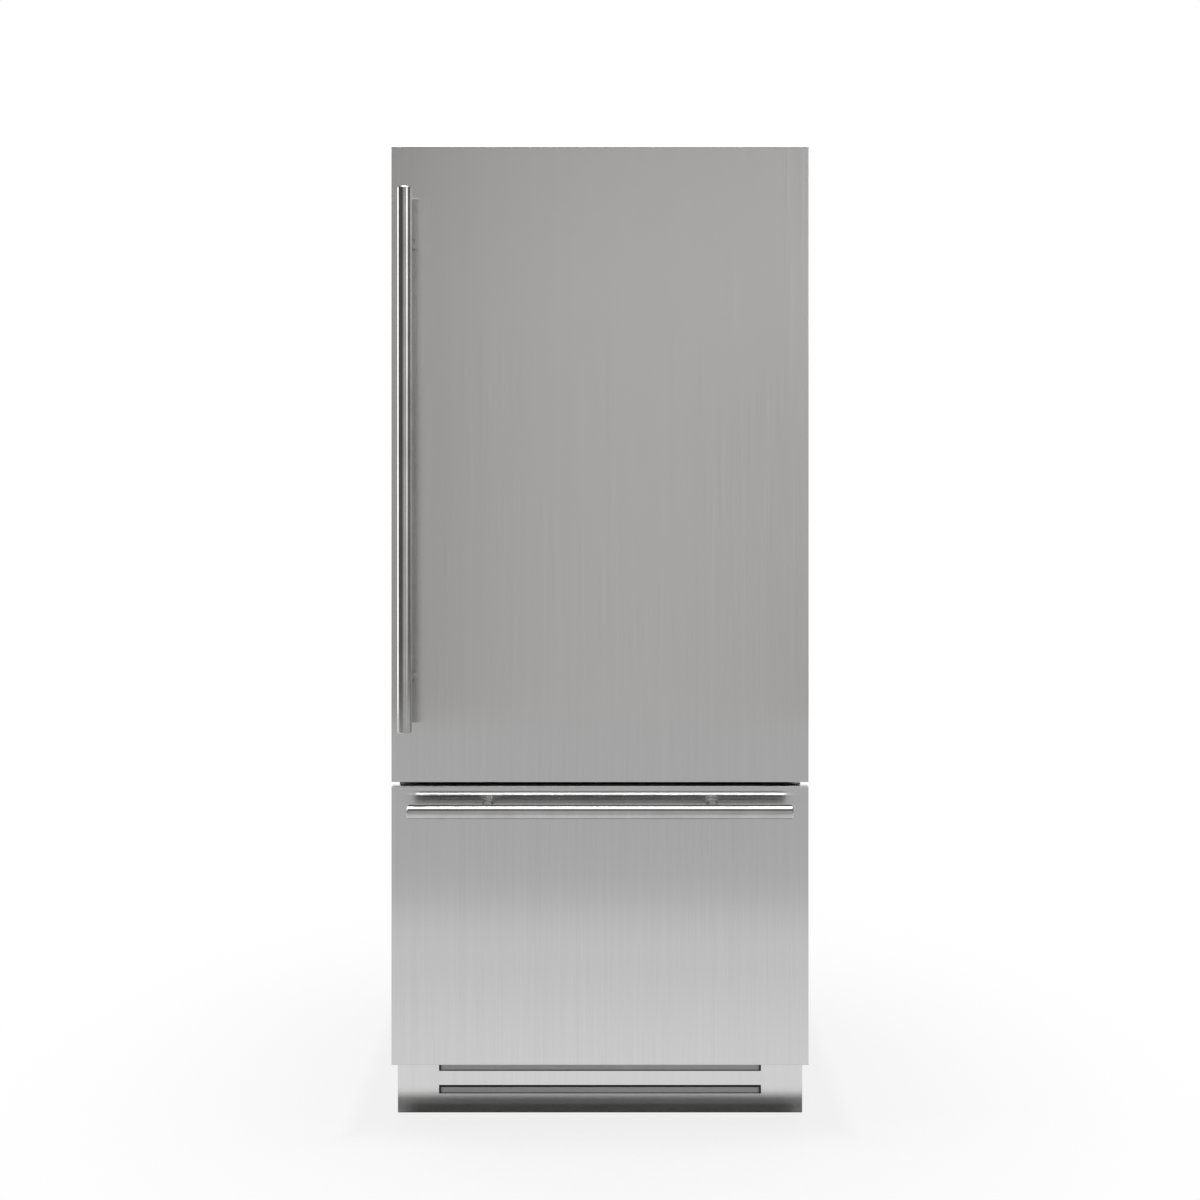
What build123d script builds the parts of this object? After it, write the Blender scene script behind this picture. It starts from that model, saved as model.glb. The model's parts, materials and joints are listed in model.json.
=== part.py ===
from build123d import *
import os
from math import cos, radians, sin, tan

os.makedirs("parts", exist_ok=True)

# A tall refrigerator: one hinged door over one pull-out freezer drawer.
# Millimetres. +Z is up, the front faces -Y, and the origin is on the floor under the object's middle.

# Steel fronts
panel_width = 899.0
panel_thickness = 20.0
panel_edge_radius = 1.0
panel_sheet = 1.2
plinth_height = 130.5
drawer_panel_height = 599.5
panel_gap = 10.0
door_panel_height = 1370.0

# Bar handles
bar_radius = 15.0
bar_reach = 60.0
bar_end_chamfer = 2.0
post_radius = 10.0
post_foot_radius = 13.0
post_foot_height = 3.0
door_bar_length = 1150.0
door_bar_inset = 37.5
door_bar_rise = 8.5
door_post_spacing = 936.0
drawer_bar_inset = 43.5
drawer_bar_drop = 39.0
drawer_post_spacing = 484.0

# Insulated cabinet
panel_overhang = 6.0
body_depth = 540.0
body_headroom = 12.0
side_wall = 45.0
back_wall = 55.0
top_wall = 50.0
floor_wall = 50.0
mullion_height = 70.0
machine_gap = 6.0
bay_depth = 190.0
bay_top = 300.0
bay_wall = 40.0
case_sheet = 1.0
frame_sheet = 1.5
liner_wall = 2.0
liner_radius = 22.0

# Door and drawer fronts behind the steel
core_thickness = 50.0
gasket_gap = 10.0
gasket_width = 16.0
gasket_margin = 3.5
gasket_neck_inset = 4.5
gasket_head_inset = 1.5
gasket_corner = 18.0
core_edge_gap = 6.0
core_side_gap = 5.0
core_hinge_gap = 14.0
dike_inset = 10.0
dike_width = 30.0
dike_reach = 25.0
dike_radius = 20.0
ledge_reach = 9.0
ledge_height = 12.0
ledge_stop = 3.0
freezer_swell = 6.0
freezer_swell_margin = 25.0
freezer_swell_slope = 30.0

# Hinges
door_opening = 115.0
hinge_inset = 22.0
hinge_setback = 15.0
pin_radius = 6.0
pin_length = 24.0
bush_wall = 4.0
bush_collar = 3.0
bush_floor = 2.0
hinge_plate = 4.0
hinge_arm_gap = 1.0
hinge_neck_reach = 33.0
hinge_arm_width = 24.0
hinge_foot_width = 80.0
hinge_foot_start = 40.0
hinge_foot_end = 110.0
bracket_sheet = 5.0
bracket_width = 60.0
bracket_flange_sheet = 3.0
bracket_flange_height = 22.0
shaft_clearance = 0.05
run_clearance = 0.3

# Plinth, feet and wheels
toe_setback = 50.0
toe_sheet = 1.5
toe_bend_radius = 1.3
toe_clearance = 4.0
slot_inset = 90.5
slot_height = 19.0
slot_corner = 1.5
slot_pitch = 49.5
lower_slot_height = 55.0
baffle_gap = 5.0
baffle_margin = 1.5
baffle_slots = 4
baffle_web = 20.0
baffle_slot_height = 12.0
base_height = 46.0
base_sheet = 2.0
base_lip = 24.0
foot_radius = 22.0
foot_inset = 62.0
foot_setback = 70.0
foot_pad_height = 6.0
foot_edge = 2.0
foot_cone_height = 10.0
foot_collar_height = 16.0
foot_collar_wall = 5.0
stud_radius = 6.0
stud_rise = 34.0
stud_lead = 1.0
boss_height = 14.0
boss_wall = 8.0
wheel_radius = 20.0
wheel_width = 24.0
wheel_setback = 62.0
wheel_edge = 2.0
wheel_rim = 5.0
wheel_hub_wall = 4.0
wheel_dish = 4.0
axle_radius = 5.0
fork_sheet = 3.0
fork_gap = 1.0
fork_eye_wall = 5.0
fork_root = 46.0
fork_slope = 65.0

# Machine bay
cover_recess = 4.0
cover_sheet = 1.2
louvre_length = 76.0
louvre_height = 9.0
louvre_pitch_x = 88.0
louvre_pitch_z = 22.0
louvre_rows = 7
compressor_inset = 208.5
compressor_length = 205.0
compressor_depth = 140.0
compressor_height = 150.0
compressor_lift = 14.0
compressor_crown = 42.0
compressor_heel = 18.0
compressor_end_flat = 2.0
compressor_seam_rise = 67.5
compressor_seam_reach = 3.0
compressor_seam_height = 5.0
compressor_plate_sheet = 4.0
compressor_plate_overlap = 1.0
compressor_plate_reach = 15.0
compressor_plate_margin = 4.0
compressor_plate_corner = 12.0
compressor_mount_radius = 11.0
compressor_mount_inset = 10.0
compressor_vent_offset = 30.0
condenser_inset = 253.5
condenser_width = 300.0
condenser_depth = 42.0
condenser_height = 200.0
condenser_gap = 2.0
condenser_spine = 10.0
fin_gap_share = 0.7
condenser_fins = 24
fan_frame_sheet = 3.0
fan_frame_cheek = 60.0
fan_frame_cheek_sheet = 2.0
fan_frame_setback = 12.0
condenser_fan_radius = 84.0
condenser_fan_gap = 6.0
pan_width = 420.0
pan_height = 42.0
pan_wall = 2.0
pan_margin = 30.0
pan_corner = 18.0
pan_foot = 6.0
pan_draft = 6.0
inlet_inset = 103.5
inlet_rise = 60.0
inlet_width = 45.0
inlet_height = 27.0
inlet_depth = 26.0
inlet_corner = 2.5
inlet_clearance = 0.5
inlet_flange_reach = 7.0
inlet_flange_sheet = 2.0
inlet_well_width = 30.0
inlet_well_height = 19.0
inlet_well_depth = 22.0
inlet_pin_width = 2.0
inlet_pin_height = 5.0
inlet_pin_length = 16.0
inlet_pin_pitch = 7.0
inlet_pin_offset = 2.0

# Fans
fan_hub_radius = 17.0
fan_gap = 3.0
fan_width = 18.0
fan_blades = 5
fan_root_depth = 3.0
fan_root_pitch = 42.0
fan_tip_pitch = 26.0
fan_root_share = 0.6
fan_blade_sheet = 2.0
fan_blade_margin = 4.0
fan_shaft_end = 2.0
fan_ring_gap = 5.0
spoke_width = 9.0
spoke_overlap = 2.0
spokes = 3

# Rail on the top
top_rail_rise = 9.0
top_rail_sheet = 2.0
top_rail_setback = 70.0
top_rail_crown = 20.0
top_rail_flange = 20.0
top_rail_end = 60.0
fixing_spacing = 600.0
fixing_radius = 3.3

# Fridge fittings
bin_count = 4
bin_height = 100.0
bin_depth = 108.0
bin_wall = 2.5
bin_corner = 16.0
bin_foot = 7.0
bin_draft = 1.5
bin_side_gap = 0.5
bin_front_gap = 1.0
bin_rest = 14.0
bin_headroom = 40.0
shelf_height = 14.0
shelf_border = 14.0
glass_thickness = 4.0
shelf_rebate = 6.0
shelf_nose = 4.0
shelf_bin_gap = 16.0
shelf_duct_gap = 6.0
shelf_rack_gap = 0.5
shelf_hook_reach = 4.0
shelf_hook_root = 1.0
shelf_hook_margin = 1.0
shelf_hook_drop = 4.0
glass_corner = 3.0
rack_width = 18.0
rack_thickness = 6.0
rack_pitch = 40.0
rack_slots = 25
rack_rise = 4.0
rack_inset = 45.0
rack_slot_width = 10.0
rack_slot_height = 14.0
shelf_slots = (0, 8, 14, 20)
crisper_height = 220.0
crisper_wall = 2.5
crisper_side_gap = 10.0
crisper_back_gap = 6.0
crisper_corner = 22.0
crisper_foot = 14.0
crisper_draft = 1.0
grip_height = 26.0
grip_reach = 12.0
grip_flare = 2.0
grip_wall = 3.0
slider_travel = 12.0
slider_half = 16.0
slider_slot = 5.0
slider_drop = 62.0
slider_play = 1.0
slider_knob_half = 6.0
slider_knob_rise = 7.0
slider_knob_reach = 5.0
slider_knob_edge = 2.0
slider_plate_reach = 4.0
slider_plate_sheet = 2.0
duct_depth = 48.0
duct_width = 340.0
duct_wall = 2.0
duct_edge = 6.0
duct_rise = 12.0
duct_headroom = 40.0
vent_height = 10.0
vent_pitch = 90.0
vent_rows = 7
vent_web = 60.0
fridge_fan_radius = 52.0
fridge_fan_drop = 90.0
evaporator_inset = 40.0
evaporator_depth = 30.0
evaporator_height = 420.0
evaporator_rise = 30.0
evaporator_spine = 8.0
evaporator_fins = 18
control_depth = 170.0
control_height = 42.0
control_wall = 2.5
control_setback = 14.0
control_inset = 70.0
control_flat = 76.5
control_tail = 14.0
control_edge = 4.0
button_radius = 8.0
button_spacing = 34.0
button_inset = 88.5
button_travel = 1.5
button_rise = 1.0
button_edge = 0.8
button_collar = 3.0
light_width = 18.0
light_thickness = 5.0
light_setback = 40.0
light_edge = 3.0

# Freezer fittings
rail_back_gap = 43.0
rail_height = 46.0
rail_sheet = 1.5
rail_drop = 130.0
rail_setback = 12.0
rail_flange = 10.0
rail_step = 11.0
ledge_width = 12.0
rail_tab_sheet = 3.0
rail_tab_drop = 16.0
rail_tab_overlap = 2.0
basket_wall = 2.5
basket_clearance = 10.0
basket_lift = 14.0
basket_corner = 26.0
basket_foot = 14.0
basket_draft = 1.5
basket_side_gap = 1.0
basket_ear_margin = 24.0
basket_ear_gap = 0.5
rim_sheet = 3.0
tray_height = 62.0
tray_share = 0.48
tray_side_gap = 2.0
tray_front_gap = 6.0
tray_corner = 20.0
tray_foot = 8.0
tray_draft = 1.5
tray_ear_sheet = 2.5
tray_ear_margin = 18.0
tray_ear_reach = 6.0
ear_root = 1.0
freezer_duct_inset = 60.0
freezer_duct_headroom = 14.0
freezer_fan_radius = 66.0
freezer_fan_edge = 30.0
freezer_vent_pitch = 26.0
freezer_vent_rows = 5
freezer_vent_place = 0.6
freezer_vent_share = 0.5
freezer_coil_inset = 78.5
freezer_coil_depth = 90.0
freezer_coil_height = 190.0
freezer_coil_spine = 20.0
freezer_coil_fins = 26

# Derived positions along Y, front to back
total_depth = bar_radius + bar_reach + panel_thickness + core_thickness + gasket_gap + body_depth
bar_y = -total_depth / 2 + bar_radius
panel_front_y = bar_y + bar_reach
core_front_y = panel_front_y + panel_thickness
core_back_y = core_front_y + core_thickness
body_front_y = core_back_y + gasket_gap
case_front_y = body_front_y + frame_sheet
body_back_y = body_front_y + body_depth
inner_back_y = body_back_y - back_wall
bay_y = body_back_y - bay_depth
step_y = bay_y - bay_wall
pivot_y = core_front_y + hinge_setback
toe_y = panel_front_y + toe_setback

# Derived heights
drawer_panel_top = plinth_height + drawer_panel_height
door_panel_bottom = drawer_panel_top + panel_gap
door_panel_top = door_panel_bottom + door_panel_height
gap_middle_z = drawer_panel_top + panel_gap / 2
body_top = door_panel_top - body_headroom
deck_z = plinth_height - machine_gap
freezer_floor = deck_z + floor_wall
freezer_ceiling = gap_middle_z - mullion_height / 2
fridge_floor = gap_middle_z + mullion_height / 2
fridge_ceiling = body_top - top_wall
step_z = bay_top + bay_wall
drawer_core_bottom = plinth_height + core_edge_gap
drawer_core_top = gap_middle_z - core_hinge_gap
door_core_bottom = gap_middle_z + core_hinge_gap
door_core_top = body_top - hinge_plate
toe_top = plinth_height - machine_gap

# Derived widths
body_width = panel_width - 2 * panel_overhang
slot_length = body_width - 2 * slot_inset
drawer_bar_length = panel_width - 2 * drawer_bar_inset
body_half = body_width / 2
case_half = body_half - case_sheet
inner_half = body_half - side_wall
core_half = body_half - core_side_gap
pivot_x = body_half - hinge_inset


def facing_front(y):
    """A sketch plane across the front: local x is X, local y is Z, extruding goes forward."""
    return Plane((0, y, 0), x_dir=(1, 0, 0), z_dir=(0, -1, 0))


def facing_right(x):
    """A side-view sketch plane: local x is Y, local y is Z, extruding goes to +X."""
    return Plane((x, 0, 0), x_dir=(0, 1, 0), z_dir=(1, 0, 0))


def block(x, y, z, mode=Mode.ADD):
    """A plain block between two limits on each axis, in the part being built."""
    with BuildSketch(Plane.XY.offset(min(z))) as base:
        with Locations(((x[0] + x[1]) / 2, (y[0] + y[1]) / 2)):
            Rectangle(abs(x[1] - x[0]), abs(y[1] - y[0]))
    extrude(base.sketch, amount=abs(z[1] - z[0]), mode=mode)


def outline(points):
    """A face from a closed chain of points, in the sketch being built."""
    with BuildLine() as chain:
        Polyline(*points, close=True)
    make_face(chain.edges())


def ring_outline(half_width, bottom, top, border, radius):
    """A rounded rectangular ring, in the sketch being built."""
    with Locations((0, (bottom + top) / 2)):
        RectangleRounded(2 * half_width, top - bottom, radius)
        RectangleRounded(
            2 * (half_width - border),
            top - bottom - 2 * border,
            max(radius - border, 1),
            mode=Mode.SUBTRACT,
        )


def drafted(x, y, z_top, size, radius, foot, draft):
    """A rounded block, drawn in towards its floor and rounded round its foot."""
    width, depth, height = size
    with BuildPart() as form:
        with BuildSketch(Plane.XY.offset(z_top)):
            with Locations((x, y)):
                RectangleRounded(width, depth, radius)
        extrude(amount=-height, taper=draft)
        fillet(form.edges().group_by(Axis.Z)[0], foot)
    return form.part


def open_bin(x, y, z_top, size, wall, radius, foot, draft):
    """A moulded bin of even wall, open at the top."""
    width, depth, height = size
    hollow = (width - 2 * wall, depth - 2 * wall, height - wall)
    outside = drafted(x, y, z_top, size, radius, foot, draft)
    inside = drafted(x, y, z_top, hollow, radius - wall, foot - wall, draft)
    with BuildPart() as shell:
        add(outside)
        add(inside, mode=Mode.SUBTRACT)
    return shell.part


# Insulated cabinet


def fridge_space(grow):
    """The fridge compartment's form, grown on every closed side."""
    height = fridge_ceiling - fridge_floor
    with BuildPart() as space:
        with BuildSketch(facing_front(case_front_y)):
            with Locations((0, (fridge_floor + fridge_ceiling) / 2)):
                RectangleRounded(2 * (inner_half + grow), height + 2 * grow, liner_radius + grow)
        extrude(amount=-(inner_back_y + grow - case_front_y))
    return space.part


def freezer_space(grow):
    """The freezer compartment's form, stepped over the machine bay and grown on every closed side."""
    with BuildPart() as space:
        with BuildSketch(facing_right(-inner_half - grow)):
            outline(
                [
                    (case_front_y, freezer_floor - grow),
                    (step_y + grow, freezer_floor - grow),
                    (step_y + grow, step_z - grow),
                    (inner_back_y + grow, step_z - grow),
                    (inner_back_y + grow, freezer_ceiling + grow),
                    (case_front_y, freezer_ceiling + grow),
                ]
            )
        extrude(amount=2 * (inner_half + grow))
        fillet(space.edges().filter_by(Axis.Y), liner_radius + grow)
    return space.part


fridge_cavity = fridge_space(liner_wall)
fridge_room = fridge_space(0)
freezer_cavity = freezer_space(liner_wall)
freezer_room = freezer_space(0)

with BuildPart() as outer_case:
    with BuildSketch(facing_front(case_front_y)):
        outline(
            [
                (-body_half, base_height),
                (-body_half, body_top),
                (body_half, body_top),
                (body_half, base_height),
                (case_half, base_height),
                (case_half, body_top - case_sheet),
                (-case_half, body_top - case_sheet),
                (-case_half, base_height),
            ]
        )
    extrude(amount=-(body_back_y - case_front_y))

with BuildPart() as back_panel:
    block(
        (-case_half, case_half), (body_back_y - case_sheet, body_back_y), (bay_top, body_top - case_sheet)
    )

with BuildPart() as insulation_foam:
    with BuildSketch(facing_right(-case_half)):
        outline(
            [
                (case_front_y, deck_z),
                (bay_y, deck_z),
                (bay_y, bay_top),
                (body_back_y - case_sheet, bay_top),
                (body_back_y - case_sheet, body_top - case_sheet),
                (case_front_y, body_top - case_sheet),
            ]
        )
    extrude(amount=2 * case_half)
    add(fridge_cavity, mode=Mode.SUBTRACT)
    add(freezer_cavity, mode=Mode.SUBTRACT)

with BuildPart() as fridge_liner:
    add(fridge_cavity)
    add(fridge_room, mode=Mode.SUBTRACT)

with BuildPart() as freezer_liner:
    add(freezer_cavity)
    add(freezer_room, mode=Mode.SUBTRACT)

with BuildPart() as front_frame:
    with BuildSketch(facing_front(body_front_y)):
        with Locations((0, (deck_z + body_top) / 2)):
            Rectangle(body_width, body_top - deck_z)
        with Locations((0, (fridge_floor + fridge_ceiling) / 2)):
            RectangleRounded(
                2 * inner_half, fridge_ceiling - fridge_floor, liner_radius, mode=Mode.SUBTRACT
            )
        with Locations((0, (freezer_floor + freezer_ceiling) / 2)):
            RectangleRounded(
                2 * inner_half, freezer_ceiling - freezer_floor, liner_radius, mode=Mode.SUBTRACT
            )
    extrude(amount=-frame_sheet)

# Base frame with wheel forks and nut bosses for the feet

foot_x = body_half - foot_inset
foot_y = body_front_y + foot_setback
wheel_y = body_back_y - wheel_setback
boss_radius = stud_radius + boss_wall
cover_y = body_back_y - cover_recess

with BuildPart() as base_frame:
    block((-case_half, case_half), (case_front_y, cover_y), (base_height, base_height + base_sheet))
    for side in (-1, 1):
        block(
            (side * (case_half - base_sheet), side * case_half),
            (case_front_y, cover_y),
            (base_height, deck_z),
        )
        for edge in (-1, 1):
            fork_x = side * foot_x + edge * (wheel_width / 2 + fork_gap)
            with BuildSketch(facing_right(fork_x)):
                with Locations((wheel_y, wheel_radius)):
                    Circle(axle_radius + fork_eye_wall)
                with Locations((wheel_y, (wheel_radius + base_height) / 2)):
                    Trapezoid(fork_root, base_height - wheel_radius, fork_slope, rotation=180)
            extrude(amount=edge * fork_sheet)
        with BuildSketch(facing_right(side * foot_x)):
            with Locations((wheel_y, wheel_radius)):
                Circle(axle_radius)
        extrude(amount=wheel_width / 2 + fork_gap + fork_sheet, both=True)
        with BuildSketch(Plane.XY.offset(base_height)):
            with Locations((side * foot_x, foot_y)):
                Circle(boss_radius)
        extrude(amount=-boss_height)
    block(
        (-case_half, case_half),
        (case_front_y, case_front_y + base_sheet),
        (base_height, base_height + base_lip),
    )
    with BuildSketch(Plane.XY.offset(base_height - boss_height)):
        with Locations((-foot_x, foot_y), (foot_x, foot_y)):
            Circle(stud_radius + shaft_clearance)
    extrude(amount=boss_height + base_sheet, mode=Mode.SUBTRACT)


def levelling_foot(x):
    """A turned foot: a wide pad, a nut collar and the stud that screws into the base."""
    stud_top = base_height + stud_rise
    collar_radius = stud_radius + foot_collar_wall
    with BuildPart() as foot:
        with BuildSketch(Plane((x, foot_y, 0), x_dir=(1, 0, 0), z_dir=(0, -1, 0))):
            outline(
                [
                    (0, 0),
                    (foot_radius - foot_edge, 0),
                    (foot_radius, foot_edge),
                    (foot_radius, foot_pad_height),
                    (collar_radius, foot_cone_height),
                    (collar_radius, foot_collar_height),
                    (stud_radius, foot_collar_height),
                    (stud_radius, stud_top - stud_lead),
                    (stud_radius - stud_lead, stud_top),
                    (0, stud_top),
                ]
            )
        revolve(axis=Axis((x, foot_y, 0), (0, 0, 1)))
    return foot


def roller(x):
    """A rear roller with dished faces, running on its axle."""
    with BuildPart() as wheel:
        with BuildSketch(facing_right(x - wheel_width / 2)):
            with Locations((wheel_y, wheel_radius)):
                Circle(wheel_radius)
                Circle(axle_radius + shaft_clearance, mode=Mode.SUBTRACT)
        extrude(amount=wheel_width)
        chamfer(wheel.edges().filter_by(GeomType.CIRCLE).sort_by(SortBy.RADIUS)[-2:], wheel_edge)
        for face_x, way in ((x - wheel_width / 2, 1), (x + wheel_width / 2, -1)):
            with BuildSketch(facing_right(face_x)):
                with Locations((wheel_y, wheel_radius)):
                    Circle(wheel_radius - wheel_rim)
                    Circle(axle_radius + wheel_hub_wall, mode=Mode.SUBTRACT)
            extrude(amount=way * wheel_dish, mode=Mode.SUBTRACT)
    return wheel


left_foot = levelling_foot(-foot_x)
right_foot = levelling_foot(foot_x)
left_wheel = roller(-foot_x)
right_wheel = roller(foot_x)

# Plinth: a folded sheet with two long slots and a baffle plate behind them

slot_heights = (lower_slot_height, lower_slot_height + slot_pitch)

with BuildPart() as toe_kick:
    with BuildSketch(Plane.XY.offset(toe_clearance)):
        outline(
            [
                (-body_half, case_front_y),
                (-body_half, toe_y),
                (body_half, toe_y),
                (body_half, case_front_y),
                (body_half - toe_sheet, case_front_y),
                (body_half - toe_sheet, toe_y + toe_sheet),
                (-body_half + toe_sheet, toe_y + toe_sheet),
                (-body_half + toe_sheet, case_front_y),
            ]
        )
    extrude(amount=toe_top - toe_clearance)
    fillet(toe_kick.edges().filter_by(Axis.Z).group_by(Axis.Y)[0], toe_bend_radius)
    block(
        (-body_half + toe_sheet, body_half - toe_sheet),
        (toe_y + toe_sheet, body_front_y),
        (toe_top - toe_sheet, toe_top),
    )
    with BuildSketch(facing_front(toe_y)):
        with Locations(*[(0, height) for height in slot_heights]):
            RectangleRounded(slot_length, slot_height, slot_corner)
    extrude(amount=-2 * toe_sheet, mode=Mode.SUBTRACT)

baffle_half = slot_length / 2 + baffle_margin
baffle_pitch = slot_length / baffle_slots
baffle_front = toe_y + toe_sheet
baffle_back = toe_y + baffle_gap

with BuildPart() as toe_kick_baffle:
    with BuildSketch(Plane.XY.offset(lower_slot_height - slot_height)):
        outline(
            [
                (-baffle_half, baffle_front),
                (-baffle_half, baffle_back),
                (baffle_half, baffle_back),
                (baffle_half, baffle_front),
                (baffle_half + toe_sheet, baffle_front),
                (baffle_half + toe_sheet, baffle_back + toe_sheet),
                (-baffle_half - toe_sheet, baffle_back + toe_sheet),
                (-baffle_half - toe_sheet, baffle_front),
            ]
        )
    extrude(amount=toe_top - toe_sheet - lower_slot_height + slot_height)
    with BuildSketch(facing_front(baffle_back)):
        with Locations((0, sum(slot_heights) / 2)):
            with GridLocations(baffle_pitch, 1, baffle_slots, 1):
                SlotOverall(baffle_pitch - baffle_web, baffle_slot_height)
    extrude(amount=-2 * toe_sheet, mode=Mode.SUBTRACT)

# Machine bay at the rear foot of the cabinet

floor_top = base_height + base_sheet
bay_middle = (bay_y + cover_y) / 2
compressor_x = body_half - compressor_inset
condenser_x = -body_half + condenser_inset
compressor_floor = floor_top + compressor_lift
compressor_end_radius = compressor_depth / 2 - compressor_end_flat

with BuildPart() as compressor:
    with BuildSketch(Plane.XY.offset(compressor_floor)):
        with Locations((compressor_x, bay_middle)):
            RectangleRounded(compressor_length, compressor_depth, compressor_end_radius)
    extrude(amount=compressor_height)
    fillet(compressor.edges().group_by(Axis.Z)[-1], compressor_crown)
    fillet(compressor.edges().group_by(Axis.Z)[0], compressor_heel)
    with BuildSketch(Plane.XY.offset(compressor_floor + compressor_seam_rise)):
        with Locations((compressor_x, bay_middle)):
            RectangleRounded(
                compressor_length + 2 * compressor_seam_reach,
                compressor_depth + 2 * compressor_seam_reach,
                compressor_end_radius + compressor_end_flat,
            )
    extrude(amount=compressor_seam_height)
    with BuildSketch(Plane.XY.offset(compressor_floor - compressor_plate_sheet + compressor_plate_overlap)):
        with Locations((compressor_x, bay_middle)):
            RectangleRounded(
                compressor_length + 2 * compressor_plate_reach,
                compressor_depth + 2 * compressor_plate_margin,
                compressor_plate_corner,
            )
    extrude(amount=compressor_plate_sheet)
    with BuildSketch(Plane.XY.offset(floor_top)):
        with Locations((compressor_x, bay_middle)):
            with GridLocations(compressor_length, compressor_depth - 2 * compressor_mount_inset, 2, 2):
                Circle(compressor_mount_radius)
    extrude(amount=compressor_lift - compressor_plate_sheet + compressor_plate_overlap)


def finned_block(x, y_front, z_bottom, size, spine, fins):
    """A finned coil: a block cut by upright slots down to its tube spine, in the part being built."""
    width, depth, height = size
    pitch = width / fins
    block((x - width / 2, x + width / 2), (y_front, y_front + depth), (z_bottom, z_bottom + height))
    with BuildSketch(Plane.XY.offset(z_bottom)) as slots:
        with Locations((x, y_front + (depth - spine) / 2)):
            with GridLocations(pitch, 1, fins - 1, 1):
                Rectangle(pitch * fin_gap_share, depth - spine)
    extrude(slots.sketch, amount=height, mode=Mode.SUBTRACT)


def fan_mount(x, z, y_front, wall, opening, shaft_length):
    """A round opening with three spokes, a motor hub and its shaft, in the wall being built."""
    with BuildSketch(facing_front(y_front)) as hole:
        with Locations((x, z)):
            Circle(opening)
    extrude(hole.sketch, amount=-wall, mode=Mode.SUBTRACT)
    with BuildSketch(facing_front(y_front)) as spider:
        with Locations((x, z)):
            with PolarLocations(opening / 2, spokes, start_angle=90):
                Rectangle(opening + spoke_overlap, spoke_width)
            Circle(fan_hub_radius)
    extrude(spider.sketch, amount=-wall)
    with BuildSketch(facing_front(y_front)) as shaft:
        with Locations((x, z)):
            Circle(axle_radius)
    extrude(shaft.sketch, amount=-(wall + shaft_length))


def fan_rotor(x, z, y_front, tip_radius, width):
    """Pitched and twisted blades round a hub that turns on the motor's shaft, its front face at y_front."""
    stations = ((fan_hub_radius - fan_root_depth, fan_root_pitch), (tip_radius, fan_tip_pitch))
    with BuildPart() as rotor:
        with BuildSketch(facing_front(y_front)):
            with Locations((x, z)):
                Circle(fan_hub_radius)
        extrude(amount=-width)
        for index in range(fan_blades):
            angle = radians(90 + index * 360 / fan_blades)
            along = Vector(cos(angle), 0, sin(angle))
            across = Vector(-sin(angle), 0, cos(angle))
            middle = Vector(x, y_front + width / 2, z)
            for reach, pitch in stations:
                lean = across * cos(radians(pitch)) + Vector(0, 1, 0) * sin(radians(pitch))
                share = fan_root_share + (1 - fan_root_share) * reach / tip_radius
                chord = (width - fan_blade_margin) / sin(radians(pitch)) * share
                with BuildSketch(Plane(middle + along * reach, x_dir=lean, z_dir=along)):
                    Rectangle(chord, fan_blade_sheet)
            loft()
        with BuildSketch(facing_front(y_front)):
            with Locations((x, z)):
                Circle(axle_radius + shaft_clearance)
        extrude(amount=-width, mode=Mode.SUBTRACT)
    return rotor


fan_frame_y = bay_middle - fan_frame_setback
condenser_fan_z = floor_top + condenser_height / 2
condenser_y = cover_y - condenser_depth - condenser_gap
shaft_reach = fan_gap + fan_width - fan_shaft_end

with BuildPart() as condenser_fan_frame:
    block(
        (condenser_x - condenser_width / 2, condenser_x + condenser_width / 2),
        (fan_frame_y, fan_frame_y + fan_frame_sheet),
        (floor_top, floor_top + condenser_height),
    )
    fan_mount(
        condenser_x,
        condenser_fan_z,
        fan_frame_y,
        fan_frame_sheet,
        condenser_fan_radius + condenser_fan_gap,
        shaft_reach,
    )
    for side in (-1, 1):
        edge_x = condenser_x + side * condenser_width / 2
        block(
            (edge_x, edge_x - side * fan_frame_cheek_sheet),
            (fan_frame_y, condenser_y),
            (floor_top, floor_top + fan_frame_cheek),
        )

condenser_fan = fan_rotor(
    condenser_x, condenser_fan_z, fan_frame_y + fan_frame_sheet + fan_gap, condenser_fan_radius, fan_width
)

with BuildPart() as condenser:
    finned_block(
        condenser_x,
        condenser_y,
        floor_top,
        (condenser_width, condenser_depth, condenser_height),
        condenser_spine,
        condenser_fins,
    )

pan_size = (pan_width, bay_y - foot_y - 2 * pan_margin, pan_height)
pan_shell = open_bin(
    0, (foot_y + bay_y) / 2, floor_top + pan_height, pan_size, pan_wall, pan_corner, pan_foot, pan_draft
)

with BuildPart() as drain_pan:
    add(pan_shell)

inlet_x = body_half - inlet_inset
inlet_z = floor_top + inlet_rise
inlet_face_y = cover_y + cover_sheet
well_floor_y = inlet_face_y + inlet_flange_sheet - inlet_well_depth
pin_rises = ((-1, -inlet_pin_offset), (0, inlet_pin_offset), (1, -inlet_pin_offset))
pin_places = [(inlet_x + step * inlet_pin_pitch, inlet_z + rise) for step, rise in pin_rises]

with BuildPart() as rear_cover:
    block(
        (-case_half + base_sheet, case_half - base_sheet),
        (cover_y, cover_y + cover_sheet),
        (base_height, bay_top - run_clearance),
    )
    with BuildSketch(facing_front(cover_y)):
        for vent_x, columns in ((condenser_x, 3), (compressor_x - compressor_vent_offset, 2)):
            with Locations((vent_x, condenser_fan_z)):
                with GridLocations(louvre_pitch_x, louvre_pitch_z, columns, louvre_rows):
                    SlotOverall(louvre_length, louvre_height)
        with Locations((inlet_x, inlet_z)):
            RectangleRounded(
                inlet_width + 2 * inlet_clearance,
                inlet_height + 2 * inlet_clearance,
                inlet_corner + inlet_clearance,
            )
    extrude(amount=-2 * cover_sheet, mode=Mode.SUBTRACT)

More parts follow.
